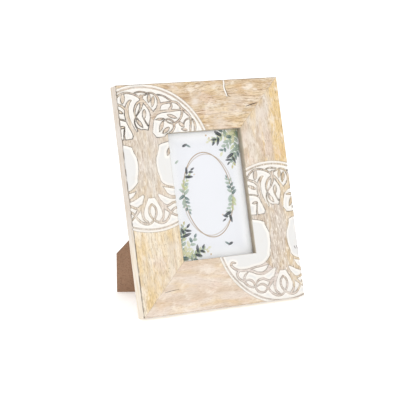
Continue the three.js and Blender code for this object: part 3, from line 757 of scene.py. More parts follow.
class Graph:
    """A material's nodes, made by short calls that return sockets."""

    def __init__(self, name: str) -> None:
        """Starts an empty material.

        Args:
            name: The material's name.
        """
        self.material = bpy.data.materials.new(name)
        self.material.use_nodes = True
        self.tree = self.material.node_tree
        self.tree.nodes.clear()

    def node(self, kind: str, inputs: dict[str | int, Source], **settings: object) -> bpy.types.Node:
        """A new node.

        Args:
            kind: The node's type.
            inputs: A socket or a plain value for each named input.
            **settings: The node's own settings.

        Returns:
            The node.
        """
        made = self.tree.nodes.new(kind)
        for name, value in settings.items():
            setattr(made, name, value)
        for name, value in inputs.items():
            if isinstance(value, Socket):
                self.tree.links.new(value, made.inputs[name])
            else:
                made.inputs[name].default_value = value
        return made

    def attribute(self, name: str, output: str = "Fac") -> Socket:
        """The value that the mesh holds under a name."""
        return self.node("ShaderNodeAttribute", {}, attribute_name=name).outputs[output]

    def place(self) -> Socket:
        """The point's place on the object, in metres."""
        return self.node("ShaderNodeTexCoord", {}).outputs["Object"]

    def math(self, operation: str, first: Source, second: Source = 0.0) -> Socket:
        """The result of one operation on two values."""
        return self.node("ShaderNodeMath", {0: first, 1: second}, operation=operation).outputs[0]

    def times(self, first: Source, second: Source) -> Socket:
        """The product of two values."""
        return self.math("MULTIPLY", first, second)

    def plus(self, first: Source, second: Source) -> Socket:
        """The sum of two values."""
        return self.math("ADD", first, second)

    def band(self, value: Source, low: float, high: float, top: float = 1.0) -> Socket:
        """A smooth rise from 0 where the value is low to top where it is high."""
        limits = {"Value": value, "From Min": low, "From Max": high, "To Min": 0.0, "To Max": top}
        return self.node("ShaderNodeMapRange", limits, interpolation_type="SMOOTHSTEP").outputs[0]

    def noise(
        self,
        place: Source,
        size: tuple[float, float, float],
        detail: float = 2.0,
        distortion: float = 0.0,
        shift: float = 0.0,
    ) -> Socket:
        """Soft random values about a half.

        Args:
            place: The point that the pattern is read at.
            size: The length of the pattern's grains each way, in the place's own units.
            detail: How many finer layers are added.
            distortion: How far the pattern is swirled.
            shift: How far the pattern is moved, to give another one.

        Returns:
            A value from 0 to 1.
        """
        scale = tuple(1 / length for length in size)
        moved = self.node("ShaderNodeMapping", {"Vector": place, "Scale": scale, "Location": (shift,) * 3})
        settings = {"Vector": moved.outputs[0], "Scale": 1.0, "Detail": detail, "Distortion": distortion}
        return self.node("ShaderNodeTexNoise", settings).outputs["Fac"]

    def sway(self, place: Source, size: tuple[float, float, float], detail: float, shift: float) -> Socket:
        """The same soft random values, but about nought."""
        return self.math("SUBTRACT", self.noise(place, size, detail, 0.0, shift), 0.5)

    def mix(self, factor: Source, first: Source, second: Source) -> Socket:
        """A mix of two colours, all second where the factor is 1."""
        made = self.node("ShaderNodeMix", {}, data_type="RGBA")
        for index, value in ((0, factor), (6, first), (7, second)):
            if isinstance(value, Socket):
                self.tree.links.new(value, made.inputs[index])
            else:
                made.inputs[index].default_value = value
        return made.outputs[2]

    def laid(self, layer: Layer, colour: Source, place: Source, shift: float) -> Socket:
        """A colour with a layer over it.

        Args:
            layer: The layer.
            colour: What it is laid over.
            place: The point that its pattern is read at.
            shift: How far the pattern is moved beyond the layer's own shift.

        Returns:
            The mixed colour.
        """
        pattern = self.noise(place, layer.size, 3, layer.swirl, shift + layer.shift)
        cover = self.band(pattern, layer.low, layer.high, layer.strength)
        return self.mix(cover, colour, seen(layer.tint))

    def bump(self, height: Source, distance: float, strength: float = 1.0) -> Socket:
        """A surface made uneven by a height, which counts as that distance at 1."""
        inputs = {"Height": height, "Distance": distance, "Strength": strength}
        return self.node("ShaderNodeBump", inputs).outputs[0]

    def finish(self, shader: Socket) -> bpy.types.Material:
        """The material with this shader on its surface."""
        self.node("ShaderNodeOutputMaterial", {"Surface": shader})
        return self.material

    def surface(self, **inputs: Source) -> bpy.types.Material:
        """The material with a plain surface shader.

        Args:
            **inputs: The shader's inputs, with underscores for the spaces in their names.

        Returns:
            The finished material.
        """
        named = {name.replace("_", " "): value for name, value in inputs.items()}
        return self.finish(self.node("ShaderNodeBsdfPrincipled", named).outputs[0])


@dataclass(frozen=True)
class RailWood:
    """The whitewashed wood of one rail, with white paint and burnt edges in its carving.

    Attributes:
        name: The material's name.
        pale: The colour of most of the wood.
        tan: The colour of its darker bands.
        gilded: How strong the yellow patches are.
        edged: How yellow the wood is towards its outer edge.
        streaked: How strong the brown streaks are.
        grainy: How strong all the streaks, fibres and pores are.
        tooled: How strong the tool's marks in the carving are.
        scrubbed: The colour towards which the carved wood is scrubbed.
        washed: How much whitewash is left on the face.
        worn: How dark the outer edge's line is.
        shift: How far the grain is moved, so that no two rails are alike.
    """

    name: str
    pale: str
    tan: str
    gilded: float
    edged: float
    streaked: float
    grainy: float
    tooled: float
    scrubbed: str
    washed: float
    worn: float
    shift: float

    def patches(self) -> tuple[Layer, ...]:
        """The broad reddish and grey patches."""
        return (
            Layer((30, 16, 16), 0.5, 0.68, 0.5, "dfc8b8", 3, 0.5),
            Layer((34, 12, 12), 0.52, 0.7, 0.45 * self.grainy, "c9bfa8", 5, 0.5),
        )

    def marks(self) -> tuple[Layer, ...]:
        """The streaks, pale and dark fibres and specks, from the longest to the shortest."""
        streaked, grainy = self.streaked, self.grainy
        return (
            Layer((18, 1.4, 1.4), 0.53, 0.66, streaked * grainy, "a07d5c", 9),
            Layer((10, 0.9, 0.9), 0.55, 0.68, (0.4 + streaked * 0.4) * grainy, "997a5a", 18),
            Layer((9, 0.9, 0.9), 0.46, 0.34, 0.25 * grainy, "faf1e2", 27),
            Layer((6, 0.6, 0.6), 0.52, 0.66, 0.6 * grainy, "a2835f", 36),
            Layer((3.2, 0.7, 0.7), 0.6, 0.69, 0.75 * grainy, "846a4e", 45),
        )

    def wood(self, graph: Graph, grain: Socket) -> Socket:
        """The whitewashed wood's colour: bands, patches, yellow, streaks, fibres, specks and wash.

        Args:
            graph: The material's nodes.
            grain: The place along the rail, across it and into it, in millimetres.

        Returns:
            The colour.
        """
        bands = graph.noise(grain, (60, 8, 8), 4, 0.6, self.shift)
        colour = graph.mix(graph.band(bands, 0.38, 0.62), seen(self.pale), seen(self.tan))
        for layer in self.patches():
            colour = graph.laid(layer, colour, grain, self.shift)
        golden = graph.noise(grain, (46, 12, 12), 3, 0.6, self.shift + 7)
        golden = graph.plus(golden, graph.band(graph.attribute("across"), 21, 4, self.edged))
        colour = graph.mix(graph.band(golden, 0.48, 0.72, self.gilded), colour, seen("e4c68a"))
        for layer in self.marks():
            colour = graph.laid(layer, colour, grain, self.shift)
        loose = graph.times(graph.sway(grain, (4, 0.9, 0.9), 3, self.shift + 54), 0.4)
        wash = graph.plus(graph.noise(grain, (14, 8, 8), 4, 0.5, self.shift + 58), loose)
        return graph.mix(graph.band(wash, 0.48, 0.72, self.washed), colour, seen("f3ebe0"))

    def face(self, graph: Graph, grain: Socket, patchy: Socket) -> Socket:
        """The face's colour: wood with its washed patches, its tooled carving and its mitres.

        Args:
            graph: The material's nodes.
            grain: The place along the rail, across it and into it, in millimetres.
            patchy: Random values that break up lines and edges.

        Returns:
            The colour.
        """
        cloud = graph.noise(grain, (12, 5, 5), 4, 0.4, self.shift + 95)
        haze = graph.times(graph.attribute("haze"), graph.band(cloud, 0.3, 0.5, 1.15))
        carved = graph.attribute("carved")
        tooled = graph.noise(grain, (12, 1.0, 1.0), 4, 0.3, self.shift + 71)
        scraped = graph.noise(grain, (7, 0.9, 0.9), 3, 0.3, self.shift + 81)
        colour = self.wood(graph, grain)
        for cover, tint in (
            (haze, "dfd4c9"),
            (graph.times(haze, -1.0), "d6b080"),
            (graph.times(carved, 0.35), self.scrubbed),
            (graph.times(carved, graph.band(tooled, 0.53, 0.66, self.tooled)), "a08870"),
            (graph.times(carved, graph.band(scraped, 0.54, 0.68, self.tooled)), "f6f0e6"),
            (graph.times(graph.attribute("seam"), graph.band(patchy, 0.62, 0.42, 0.6)), "a08a70"),
        ):
            colour = graph.mix(cover, colour, seen(tint))
        return colour

    def burnt(self, graph: Graph, face: Socket, cut: Socket, patchy: Socket) -> Socket:
        """The face with its carving's edges burnt brown, and black in the charred patches.

        Args:
            graph: The material's nodes.
            face: The face's colour.
            cut: How far inside the cut-away field the point lies, in millimetres.
            patchy: Random values that break up lines and edges.

        Returns:
            The colour.
        """
        scorch, char = graph.attribute("scorch"), graph.attribute("char")
        along = graph.times(graph.band(cut, -0.95, -0.3), graph.band(cut, 0.4, 0.12))
        depth = graph.plus(graph.times(scorch, graph.band(patchy, 0.25, 0.6)), char)
        spots = graph.noise(graph.attribute("grain", "Vector"), (7, 7, 7), 2, 0.4, self.shift + 91)
        black = graph.band(graph.plus(spots, graph.times(char, 0.15)), 0.48, 0.56)
        brown = graph.mix(scorch, seen("a2998e"), seen("68625c"))
        tint = graph.mix(graph.times(scorch, black), brown, seen("1f1c1b"))
        return graph.mix(graph.times(along, depth), face, tint)

    def paint(self, graph: Graph, place: Socket, cut: Socket) -> Socket:
        """The white paint's colour, greyer in the open field and thin in places."""
        colour = graph.mix(graph.band(cut, 0.8, 3.9), seen("f0ece6"), seen("dedddb"))
        colour = graph.mix(graph.band(cut, 0.5, 0.1, 0.35), colour, seen("e4dfd7"))
        thin = graph.band(graph.noise(place, (7, 7, 7), 5, 0.3, self.shift + 37), 0.56, 0.78, 0.3)
        return graph.mix(thin, colour, seen("dad3c8"))

    def side(self, graph: Graph, place: Socket) -> Socket:
        """The outer sides' colour: a pale wash over greyish wood, yellower low down."""
        lines = graph.noise(place, (26, 4, 1.4), 5, 0.3, self.shift + 61)
        low = graph.attribute("low")
        pale = graph.mix(low, seen("d9d1c9"), seen("e9e0d3"))
        dark = graph.mix(low, seen("c7b59e"), seen("d9c6a8"))
        return graph.mix(graph.band(lines, 0.42, 0.66, 0.8), pale, dark)

    def material(self) -> bpy.types.Material:
        """The finished material, which reads the values that the rail's mesh holds."""
        graph = Graph(self.name)
        place = graph.attribute("grain", "Vector")
        bend = graph.times(graph.sway(place, (60, 26, 26), 1, self.shift + 51), 9.0)
        offset = graph.node("ShaderNodeCombineXYZ", {"Y": bend}).outputs[0]
        grain = graph.node("ShaderNodeVectorMath", {0: place, 1: offset}, operation="ADD").outputs[0]
        patchy = graph.noise(place, (9, 5, 5), 4, 0.3, self.shift + 31)
        wobble = graph.times(graph.sway(place, (1.3, 1.3, 1.3), 3, self.shift), 0.6)
        cut = graph.plus(graph.attribute("cut"), wobble)
        burnt = self.burnt(graph, self.face(graph, grain, patchy), cut, patchy)
        colour = graph.mix(graph.band(cut, -0.1, 0.2), burnt, self.paint(graph, place, cut))
        sight = graph.attribute("sight")
        worn = graph.times(graph.attribute("arris"), graph.band(patchy, 0.74, 0.42, self.worn))
        for cover, tint in (
            (graph.attribute("side"), self.side(graph, place)),
            # The side along the opening: bare grey-brown wood, with painted shade that darkens it deeper into
            # the opening towards the glass
            (graph.band(sight, 0.0, 0.3, 0.85), graph.mix(sight, seen("b0a692"), seen("8a8173"))),
            (worn, seen("695c4d")),
            (graph.times(graph.attribute("crack"), 0.9), seen("4c3d32")),
        ):
            colour = graph.mix(cover, colour, tint)
        fibres = graph.noise(grain, (9, 0.5, 0.5), 3, 0.0, self.shift + 36)
        pores = graph.band(graph.noise(grain, (3.2, 0.8, 0.8), 3, 0.2, self.shift + 45), 0.6, 0.72)
        height = graph.math("SUBTRACT", fibres, graph.times(pores, 0.7))
        normal = graph.bump(graph.times(height, graph.band(cut, 0.5, -0.1)), 0.00022, 0.8)
        rough = graph.plus(graph.band(fibres, 0.3, 0.7, 0.15), 0.58)
        return graph.surface(Base_Color=colour, Roughness=rough, Normal=normal)


@dataclass(frozen=True)
class Fibreboard:
    """Brown fibreboard with fine flecks and darker cut edges."""

    name: str
    face: str = "98775f"
    fleck: str = "7a5d47"
    edge: str = "7e614b"

    def material(self) -> bpy.types.Material:
        """The finished material, which reads where the mesh is a cut edge."""
        graph = Graph(self.name)
        place = graph.place()
        blotch = graph.noise(place, (0.024, 0.024, 0.024), 4, 0.3)
        colour = graph.mix(graph.band(blotch, 0.35, 0.7, 0.45), seen(self.face), seen(self.fleck))
        flecks = graph.noise(place, (0.0018, 0.0018, 0.0018), 4)
        colour = graph.mix(graph.band(flecks, 0.48, 0.64, 0.55), colour, seen(self.fleck))
        fibres = graph.noise(place, (0.0003, 0.0022, 0.0022), 2, 0.8)
        colour = graph.mix(graph.band(fibres, 0.6, 0.72, 0.4), colour, seen("c3a488"))
        colour = graph.mix(graph.times(graph.attribute("edge"), 0.85), colour, seen(self.edge))
        rough = graph.plus(graph.band(flecks, 0.2, 0.8, 0.25), 0.62)
        return graph.surface(Base_Color=colour, Roughness=rough, Normal=graph.bump(flecks, 0.0001, 0.5))


@dataclass(frozen=True)
class Plating:
    """Plated metal with fine scratches and a dull bloom.

    Attributes:
        name: The material's name.
        bright: The colour where it is clean.
        dull: The colour where it has dulled.
        rough: The least roughness.
    """

    name: str
    bright: str
    dull: str
    rough: float

    def material(self) -> bpy.types.Material:
        """The finished material."""
        graph = Graph(self.name)
        place = graph.place()
        bloom = graph.noise(place, (0.005, 0.005, 0.005), 4, 0.4)
        colour = graph.mix(graph.band(bloom, 0.4, 0.7), seen(self.bright), seen(self.dull))
        scratches = graph.noise(place, (0.004, 0.0003, 0.0003), 2)
        rough = graph.plus(graph.band(bloom, 0.35, 0.75, 0.18), self.rough)
        rough = graph.plus(rough, graph.band(scratches, 0.55, 0.8, 0.12))
        normal = graph.bump(scratches, 0.00002, 0.5)
        return graph.surface(Base_Color=colour, Metallic=1.0, Roughness=rough, Normal=normal)


@dataclass(frozen=True)
class PictureGlass:
    """Clear flat glass: what is behind it shows, under a faint reflection that grows at a slant."""

    name: str = "picture_glass"

    def material(self) -> bpy.types.Material:
        """The finished material."""
        graph = Graph(self.name)
        facing = graph.node("ShaderNodeLayerWeight", {"Blend": 0.5}).outputs["Facing"]
        shine = graph.plus(graph.times(graph.math("POWER", facing, 5.0), 0.9), 0.03)
        clear = graph.node("ShaderNodeBsdfTransparent", {"Color": (0.992, 0.993, 0.994, 1)})
        gloss = graph.node("ShaderNodeBsdfGlossy", {"Color": (1, 1, 1, 1), "Roughness": 0.03})
        both = {0: shine, 1: clear.outputs[0], 2: gloss.outputs[0]}
        return graph.finish(graph.node("ShaderNodeMixShader", both).outputs[0])


@dataclass(frozen=True)
class Greyboard:
    """Grey-brown card with a loose fibre."""

    name: str = "greyboard"

    def material(self) -> bpy.types.Material:
        """The finished material."""
        graph = Graph(self.name)
        fibre = graph.noise(graph.place(), (0.0012, 0.0006, 0.0012), 4, 0.5)
        colour = graph.mix(graph.band(fibre, 0.4, 0.7), seen("b9ac98"), seen("978a77"))
        return graph.surface(Base_Color=colour, Roughness=0.9, Normal=graph.bump(fibre, 0.0001, 0.5))


@dataclass(frozen=True)
class PrintedPaper:
    """White paper with the print that its mesh holds as a colour, which also holds painted light along the
    rails.
    """

    name: str = "printed_paper"

    def material(self) -> bpy.types.Material:
        """The finished material."""
        graph = Graph(self.name)
        ink = graph.attribute("ink", "Color")
        tooth = graph.noise(graph.place(), (0.0008, 0.0008, 0.0008), 3)
        colour = graph.mix(graph.band(tooth, 0.5, 0.8, 0.04), ink, seen("8fa0a8"))
        return graph.surface(Base_Color=colour, Roughness=0.75, Normal=graph.bump(tooth, 0.00002, 0.3))


# Pieces


@dataclass(frozen=True)
class Dressed:
    """A finished piece, the body that it rides on and what it stands for."""

    obj: bpy.types.Object
    body: str
    slot: str
    nodes: tuple[str, ...]

    def settle(self) -> None:
        """Hands the piece to the frame and reports it."""
        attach(self.obj, self.body)
        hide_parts(*self.nodes)
        log.info("%s rides on %s for %s", self.obj.name, self.body, ", ".join(self.nodes))


@dataclass(frozen=True)
class Patch:
    """A soft round patch on the frame's face: its place across and up, its radius and its strength."""

    across: float
    up: float
    radius: float
    strength: float

    @staticmethod
    def total(patches: list[Patch], x: Array, u: Array) -> Array:
        """How strong all the patches are at each point.

        Args:
            patches: The patches.
            x: Places across the frame.
            u: Places up the frame.

        Returns:
            The sum of each patch's strength times exp(-(distance / radius)²).
        """
        total = np.zeros(x.shape)
        for patch in patches:
            away = np.hypot(x - patch.across, u - patch.up) / patch.radius
            total += patch.strength * np.exp(-(away**2))
        return total


@dataclass(frozen=True)
class FaceMarks:
    """What the carving and the cracks do at each point of a rail.

    Attributes:
        cut: How far inside the cut-away field or groove it lies.
        inside: How far inside the nearest medallion it lies.
        scorch: How darkly that medallion's edges are burnt there.
        filling: How far inside a filled crack it lies.
        crack: How far inside an open crack it lies.
    """

    cut: Array
    inside: Array
    scorch: Array
    filling: Array
    crack: Array


# The stretches that the carving and the cracks cover on each rail, as shares of its length
CARVED_STRETCHES = {
    Side.LEFT: ((0.28, 1.0),),
    Side.TOP: ((0.0, 0.54), (0.62, 0.72), (0.86, 1.0)),
    Side.RIGHT: ((0.29, 1.0),),
    Side.BOTTOM: ((0.0, 0.54), (0.8, 1.0)),
}


@dataclass
class CarvedRails:
    """The four mitred rails, with the medallions cut across them.

    Attributes:
        place: Where the frame lies.
        medallions: The two carvings.
        filled: Cracks in the face that the white paint fills, as points with half widths.
        open: Cracks and marks that are left dark.
        washed: Soft patches of thick or worn whitewash.
        charred: Soft patches where the carving's edges are burnt black.
        arris: The radius of the rails' edges.
        worn_sight: The radius of the right rail's edge along the opening, which is worn rounder.
        lip: The thickness in front of the rebate.
        rebate: The rebate's width.
        mitre_gap: The gap between two rails, closed by glue.
        carving: The depth of the cut-away field.
        wall: The width over which the field's wall comes down.
        tooling: How uneven the carver's tools left the field.
        shrunk: How far a filled crack's filling lies below the face.
        cracked: The depth of an open crack.
        waviness: How uneven the face is.
        fine: The grid's step over the carving.
        coarse: The grid's step over plain wood.
        mitre_end: The length at each end of a rail that the grid divides finely.
        end_steps: The number of steps over that length, and round each edge.
        lip_steps: The number of steps down the side along the opening.
        rebate_steps: The number of steps along each face of the rebate.
        back_steps: The number of steps across the back.
        side_steps: The number of steps along the outer side.
    """

    place: FramePlace
    medallions: tuple[Medallion, ...]
    filled: list[Array]
    open: list[Array]
    washed: list[Patch]
    charred: list[Patch]
    arris: float = 0.6
    worn_sight: float = 1.5
    lip: float = 7.5
    rebate: float = 7.0
    mitre_gap: float = 0.02
    carving: float = 1.2
    wall: float = 0.45
    tooling: float = 0.05
    shrunk: float = 0.15
    cracked: float = 0.3
    waviness: float = 0.05
    fine: float = 0.44
    coarse: float = 1.6
    mitre_end: float = 1.2
    end_steps: int = 4
    lip_steps: int = 7
    rebate_steps: int = 3
    back_steps: int = 16
    side_steps: int = 12

    def section(self, sight: float) -> tuple[Array, Array, Array]:
        """The rail's section as a closed loop, from the face's outer edge all the way round.

        Args:
            sight: The radius of the edge along the opening.

        Returns:
            The places across the rail from its outer edge, the depths, and the depth at which
            the carving no longer moves a point.
        """
        r, width, deep = self.arris, self.place.rail, self.place.thickness
        inner = width - self.rebate
        bend = run((0, math.pi / 2, self.end_steps))
        face = run((r, width - sight, round((width - r - sight) / self.fine)))
        lip = run((sight, self.lip, self.lip_steps))
        ledge = run((width, inner, self.rebate_steps))
        rebate = run((self.lip, deep, self.rebate_steps))
        back = run((inner, r, self.back_steps))
        side = run((deep - r, r, self.side_steps))
        parts = [
            (face, np.zeros_like(face), deep),
            (width - sight + sight * np.sin(bend), sight - sight * np.cos(bend), self.lip),
            (np.full_like(lip, width), lip, self.lip),
            (ledge, np.full_like(ledge, self.lip), self.lip),
            (np.full_like(rebate, inner), rebate, self.lip),
            (back, np.full_like(back, deep), deep),
            (r - r * np.sin(bend), deep - r + r * np.cos(bend), deep),
            (np.zeros_like(side), side, deep),
            (r - r * np.cos(bend), r - r * np.sin(bend), deep),
        ]
        across, depth = (np.concatenate([part[k] for part in parts]) for k in (0, 1))
        limit = np.concatenate([np.full(len(part[0]), part[2]) for part in parts])
        return across, depth, limit

    def columns(self, length: float, fine: tuple[tuple[float, float], ...]) -> Array:
        """The grid's places along a rail, as shares of its length.

        Args:
            length: The rail's outer length.
            fine: The stretches, as shares of the length, that the carving covers.

        Returns:
            Rising shares from 0 to 1, close together over the fine stretches and at the ends.
        """
        end = self.mitre_end / length
        parts = [run((0.0, end, self.end_steps))]
        at = end
        for low, high in (*fine, (1.0, 1.0)):
            low, high = max(low, at), min(high, 1 - end)
            for start, stop, step in ((at, min(low, 1 - end), self.coarse), (low, high, self.fine)):
                if stop > start:
                    parts.append(run((start, stop, round((stop - start) * length / step) + 1)))
            at = max(at, high)
        parts.append(np.linspace(1 - end, 1, self.end_steps + 1))
        return np.concatenate(parts)

    def marks(self, x: Array, u: Array) -> FaceMarks:
        """What the carving and the cracks do at each point.

        The carving's edges are burnt lightly along the ring, more inside it and most in the crown.

        Args:
            x: Places across the frame.
            u: Places up the frame.

        Returns:
            The distances to their edges, and how darkly the carving's edges are burnt.
        """
        cut = np.maximum.reduce([medallion.cut(x, u) for medallion in self.medallions])
        rims = np.stack([medallion.inside(x, u) for medallion in self.medallions])
        inside, nearest = rims.max(axis=0), rims.argmax(axis=0)
        above = u - np.array([medallion.up for medallion in self.medallions])[nearest]
        darker = np.array([medallion.scorch for medallion in self.medallions])[nearest]
        scorch = 0.4 + smooth(inside, 4, 6) * (0.25 + darker * smooth(above, -40, 25))
        filling, crack = (-distance_to_lines(x, u, lines, REACH) for lines in (self.filled, self.open))
        return FaceMarks(cut, inside, scorch, filling, crack)

    def sunk(self, marks: FaceMarks, x: Array, u: Array, waves: Array) -> Array:
        """How far the face is set back at each point.

        The carving sets it back by its depth times a smooth rise over its wall, a crack by its
        own depth, and the waviness by up to twice its size.

        Args:
            marks: What the carving and the cracks do there.
            x: Places across the frame.
            u: Places up the frame.
            waves: Waves from -1 to 1.

        Returns:
            The depths below the flat face.
        """
        tooling = self.tooling * np.sin(x * 1.7 + 2 * np.sin(u * 0.9)) * np.sin(u * 1.3 + x * 0.4)
        return (
            (self.carving + tooling) * smooth(marks.cut, -0.05, self.wall)
            + self.shrunk * smooth(marks.filling, -0.2, 0.3)
            + self.cracked * smooth(marks.crack, -0.2, 0.2)
            + self.waviness * (1 + waves)
        )

    def build(self, side: Side, finish: RailWood) -> Dressed:
        """One rail with its carving.

        A point at a share t along the rail and a across it lies at a + g + t(L - 2a - 2g) from
        the rail's end, so that both ends are mitred. What sets the face back moves the sides by
        less the deeper they are.

        Args:
            side: Which rail.
            finish: Its wood.

        Returns:
            The dressed piece.
        """
        line = self.place.line(side)
        sight = self.worn_sight if side is Side.RIGHT else self.arris
        across, depth, limit = (value[:, None] for value in self.section(sight))
        share = self.columns(line.length, CARVED_STRETCHES[side])[None, :]
        pull = self.mitre_gap / math.sqrt(2)
        span = line.length - 2 * (across + pull)
        ahead = across + pull + share * span
        x, u = line.at(ahead, across)
        marks = self.marks(x, u)
        waves = np.sin(ahead * 0.11 + across * 0.19) * np.sin(across * 0.23 + line.length)
        n = depth + self.sunk(marks, x, u, waves) * np.clip(1 - depth / limit, 0, 1)
        flat, edge = np.broadcast_to(depth, x.shape), np.broadcast_to(across, x.shape)
        on_face = smooth(0.5 - flat, 0, 0.3)
        to_end = np.minimum(share, 1 - share) * span / math.sqrt(2)
        to_sight = (edge - self.place.rail) / sight
        shell = Shell.swept(
            self.place.to_row(np.stack([x, n, u], axis=-1)),
            Closing.CAPPED,
            grain=np.stack([ahead, edge, n], axis=-1),
            across=edge,
            cut=np.maximum(marks.cut, marks.filling) * on_face - REACH * (1 - on_face),
            side=smooth(0.4 - edge, 0, 0.4) * smooth(flat, 0.2, 0.6),
            low=smooth(100 - u, 0, 35),
            # Sight: the side along the opening and its rounded edge, stronger deeper in, where its colour
            # carries painted shade
            sight=smooth(to_sight, -0.9, -0.3) * (0.3 + 0.7 * smooth(flat, 0.4, self.lip * 0.6)),
            arris=smooth(1.1 - edge, 0, 0.4) * smooth(1.0 - flat, 0, 0.4),
            crack=smooth(marks.crack, -0.25, 0.1) * on_face,
            haze=Patch.total(self.washed, x, u) * on_face,
            char=Patch.total(self.charred, x, u) * on_face,
            carved=smooth(marks.inside, -0.2, 0.8) * on_face,
            scorch=marks.scorch * on_face,
            seam=smooth(0.5 - to_end, 0, 0.4) * on_face,
        )
        obj = shell.to_object(f"carved_rail_{side.value}", finish.material())
        return Dressed(obj, "frame", "wood", (f"rail_{side.value}",))


SHEET = (100.0, 150.0)


@dataclass(frozen=True)
class Ink:
    """An ink of the print: its colour and how thickly it is laid on."""

    colour: str
    body: float = 1.0


@dataclass(frozen=True)
class Leaf:
    """A printed leaf: its stalk and tip on the sheet, its half width and its ink."""

    stalk: tuple[float, float]
    tip: tuple[float, float]
    half: float
    ink: Ink


@dataclass(frozen=True)
class Spray:
    """A printed stem with leaves to both sides.

    Attributes:
        root: The stem's foot on the sheet.
        heading: Its heading there, in degrees.
        length: Its length.
        bend: How far it turns over its length, in degrees.
        leaf: A leaf's length at the foot.
        half: A leaf's half width there.
        inks: The inks of its leaves.
        steps: The number of steps along the stem.
        spacing: How far apart the leaves grow, as a share of a leaf's length.
        lowest: Where the lowest leaf grows, as a share of the stem's length.
    """

    root: tuple[float, float]
    heading: float
    length: float
    bend: float
    leaf: float
    half: float
    inks: tuple[Ink, ...]
    steps: int = 23
    spacing: float = 0.36
    lowest: float = 0.06

    def turned(self) -> Spray:
        """The same spray on the sheet turned half round."""
        width, height = SHEET
        return replace(self, root=(width - self.root[0], height - self.root[1]), heading=self.heading + 180)

    def stem(self) -> Array:
        """The stem as points with half widths: an arc that turns evenly."""
        share = np.linspace(0, 1, self.steps + 1)
        turn = np.radians(self.heading + self.bend * share)
        steps = self.length / self.steps * np.stack([np.cos(turn), np.sin(turn)], axis=1)
        points = np.array(self.root) + np.vstack([[0.0, 0.0], np.cumsum(steps[:-1], axis=0)])
        return np.column_stack([points, 0.28 - 0.15 * share])

    def leaves(self, rng: np.random.Generator) -> list[Leaf]:
        """The leaves, one to each side in turn and smaller towards the tip.

        Args:
            rng: What draws each leaf's angle, length, width and ink.

        Returns:
            The leaves, the last one at the stem's tip.
        """
        stem = self.stem()
        count = max(3, round(self.length / (self.leaf * self.spacing)))
        made = []
        for k in range(count + 1):
            share = self.lowest + (1 - self.lowest) * k / count
            x, y = (float(np.interp(share, np.linspace(0, 1, len(stem)), stem[:, axis])) for axis in (0, 1))
            open_angle = 0.0 if k == count else (1 if k % 2 else -1) * rng.uniform(0.65, 1.05)
            angle = math.radians(self.heading + self.bend * share) + open_angle
            length = self.leaf * (1.05 - 0.5 * share) * rng.uniform(0.85, 1.12)
            half = self.half * (1.05 - 0.4 * share) * rng.uniform(0.85, 1.12)
            tip = (x + math.cos(angle) * length, y + math.sin(angle) * length)
            made.append(Leaf((x, y), tip, half, self.inks[int(rng.integers(len(self.inks)))]))
        return made


DARK = Ink("101f28", 1.25)
TEAL = Ink("4a6b66", 1.1)
SAGE = Ink("8fa48f")
LIME = Ink("b7bf84")
CREAM = Ink("d9d6ae")

# Two corner clusters and two garlands on the oval, the pale sprays first and the dark ones on top
CLUSTER = [
    Spray((98, 141), 184, 40, 14, 8.6, 2.0, (LIME, CREAM)),
    Spray((92, 147), 266, 42, -12, 8.6, 2.0, (SAGE, LIME)),
    Spray((98, 147), 222, 36, 12, 9.4, 2.4, (SAGE, CREAM, TEAL)),
    Spray((84, 147), 206, 22, 18, 8.2, 1.9, (TEAL, SAGE)),
    Spray((98, 128), 240, 20, -18, 8.2, 1.9, (TEAL, SAGE)),
    Spray((76, 139), 200, 12, 26, 10.4, 1.9, (DARK,)),
    Spray((88, 119), 250, 12, -26, 10.4, 1.9, (DARK,)),
]

GARLAND = [
    Spray((20.6, 76), 92, 24, -46, 7.4, 1.9, (LIME, SAGE)),
    Spray((20.6, 78), 266, 20, 30, 7.4, 1.9, (TEAL, SAGE)),
    Spray((24, 96), 58, 11, -30, 9.6, 1.8, (DARK,)),
]

LOOSE_LEAVES = [
    Leaf((25, 130), (31.5, 132.5), 1.5, DARK),
    Leaf((30, 131.8), (35.5, 128.6), 1.2, TEAL),
    Leaf((73, 20), (66.5, 17.5), 1.5, DARK),
    Leaf((68, 18.4), (62.9, 21.6), 1.2, TEAL),
    Leaf((14, 112), (18.5, 115.5), 1.2, SAGE),
]

BERRIES = [
    (56, 140.5, 1.2), (59.5, 137.5, 1.0), (84.5, 103, 1.1), (87.5, 105.5, 0.9), (44, 9.5, 1.2),
    (40.5, 12.5, 1.0), (15.5, 47, 1.1), (12.5, 44.5, 0.9), (35.5, 98.5, 0.9), (64.5, 51.5, 0.9),
]


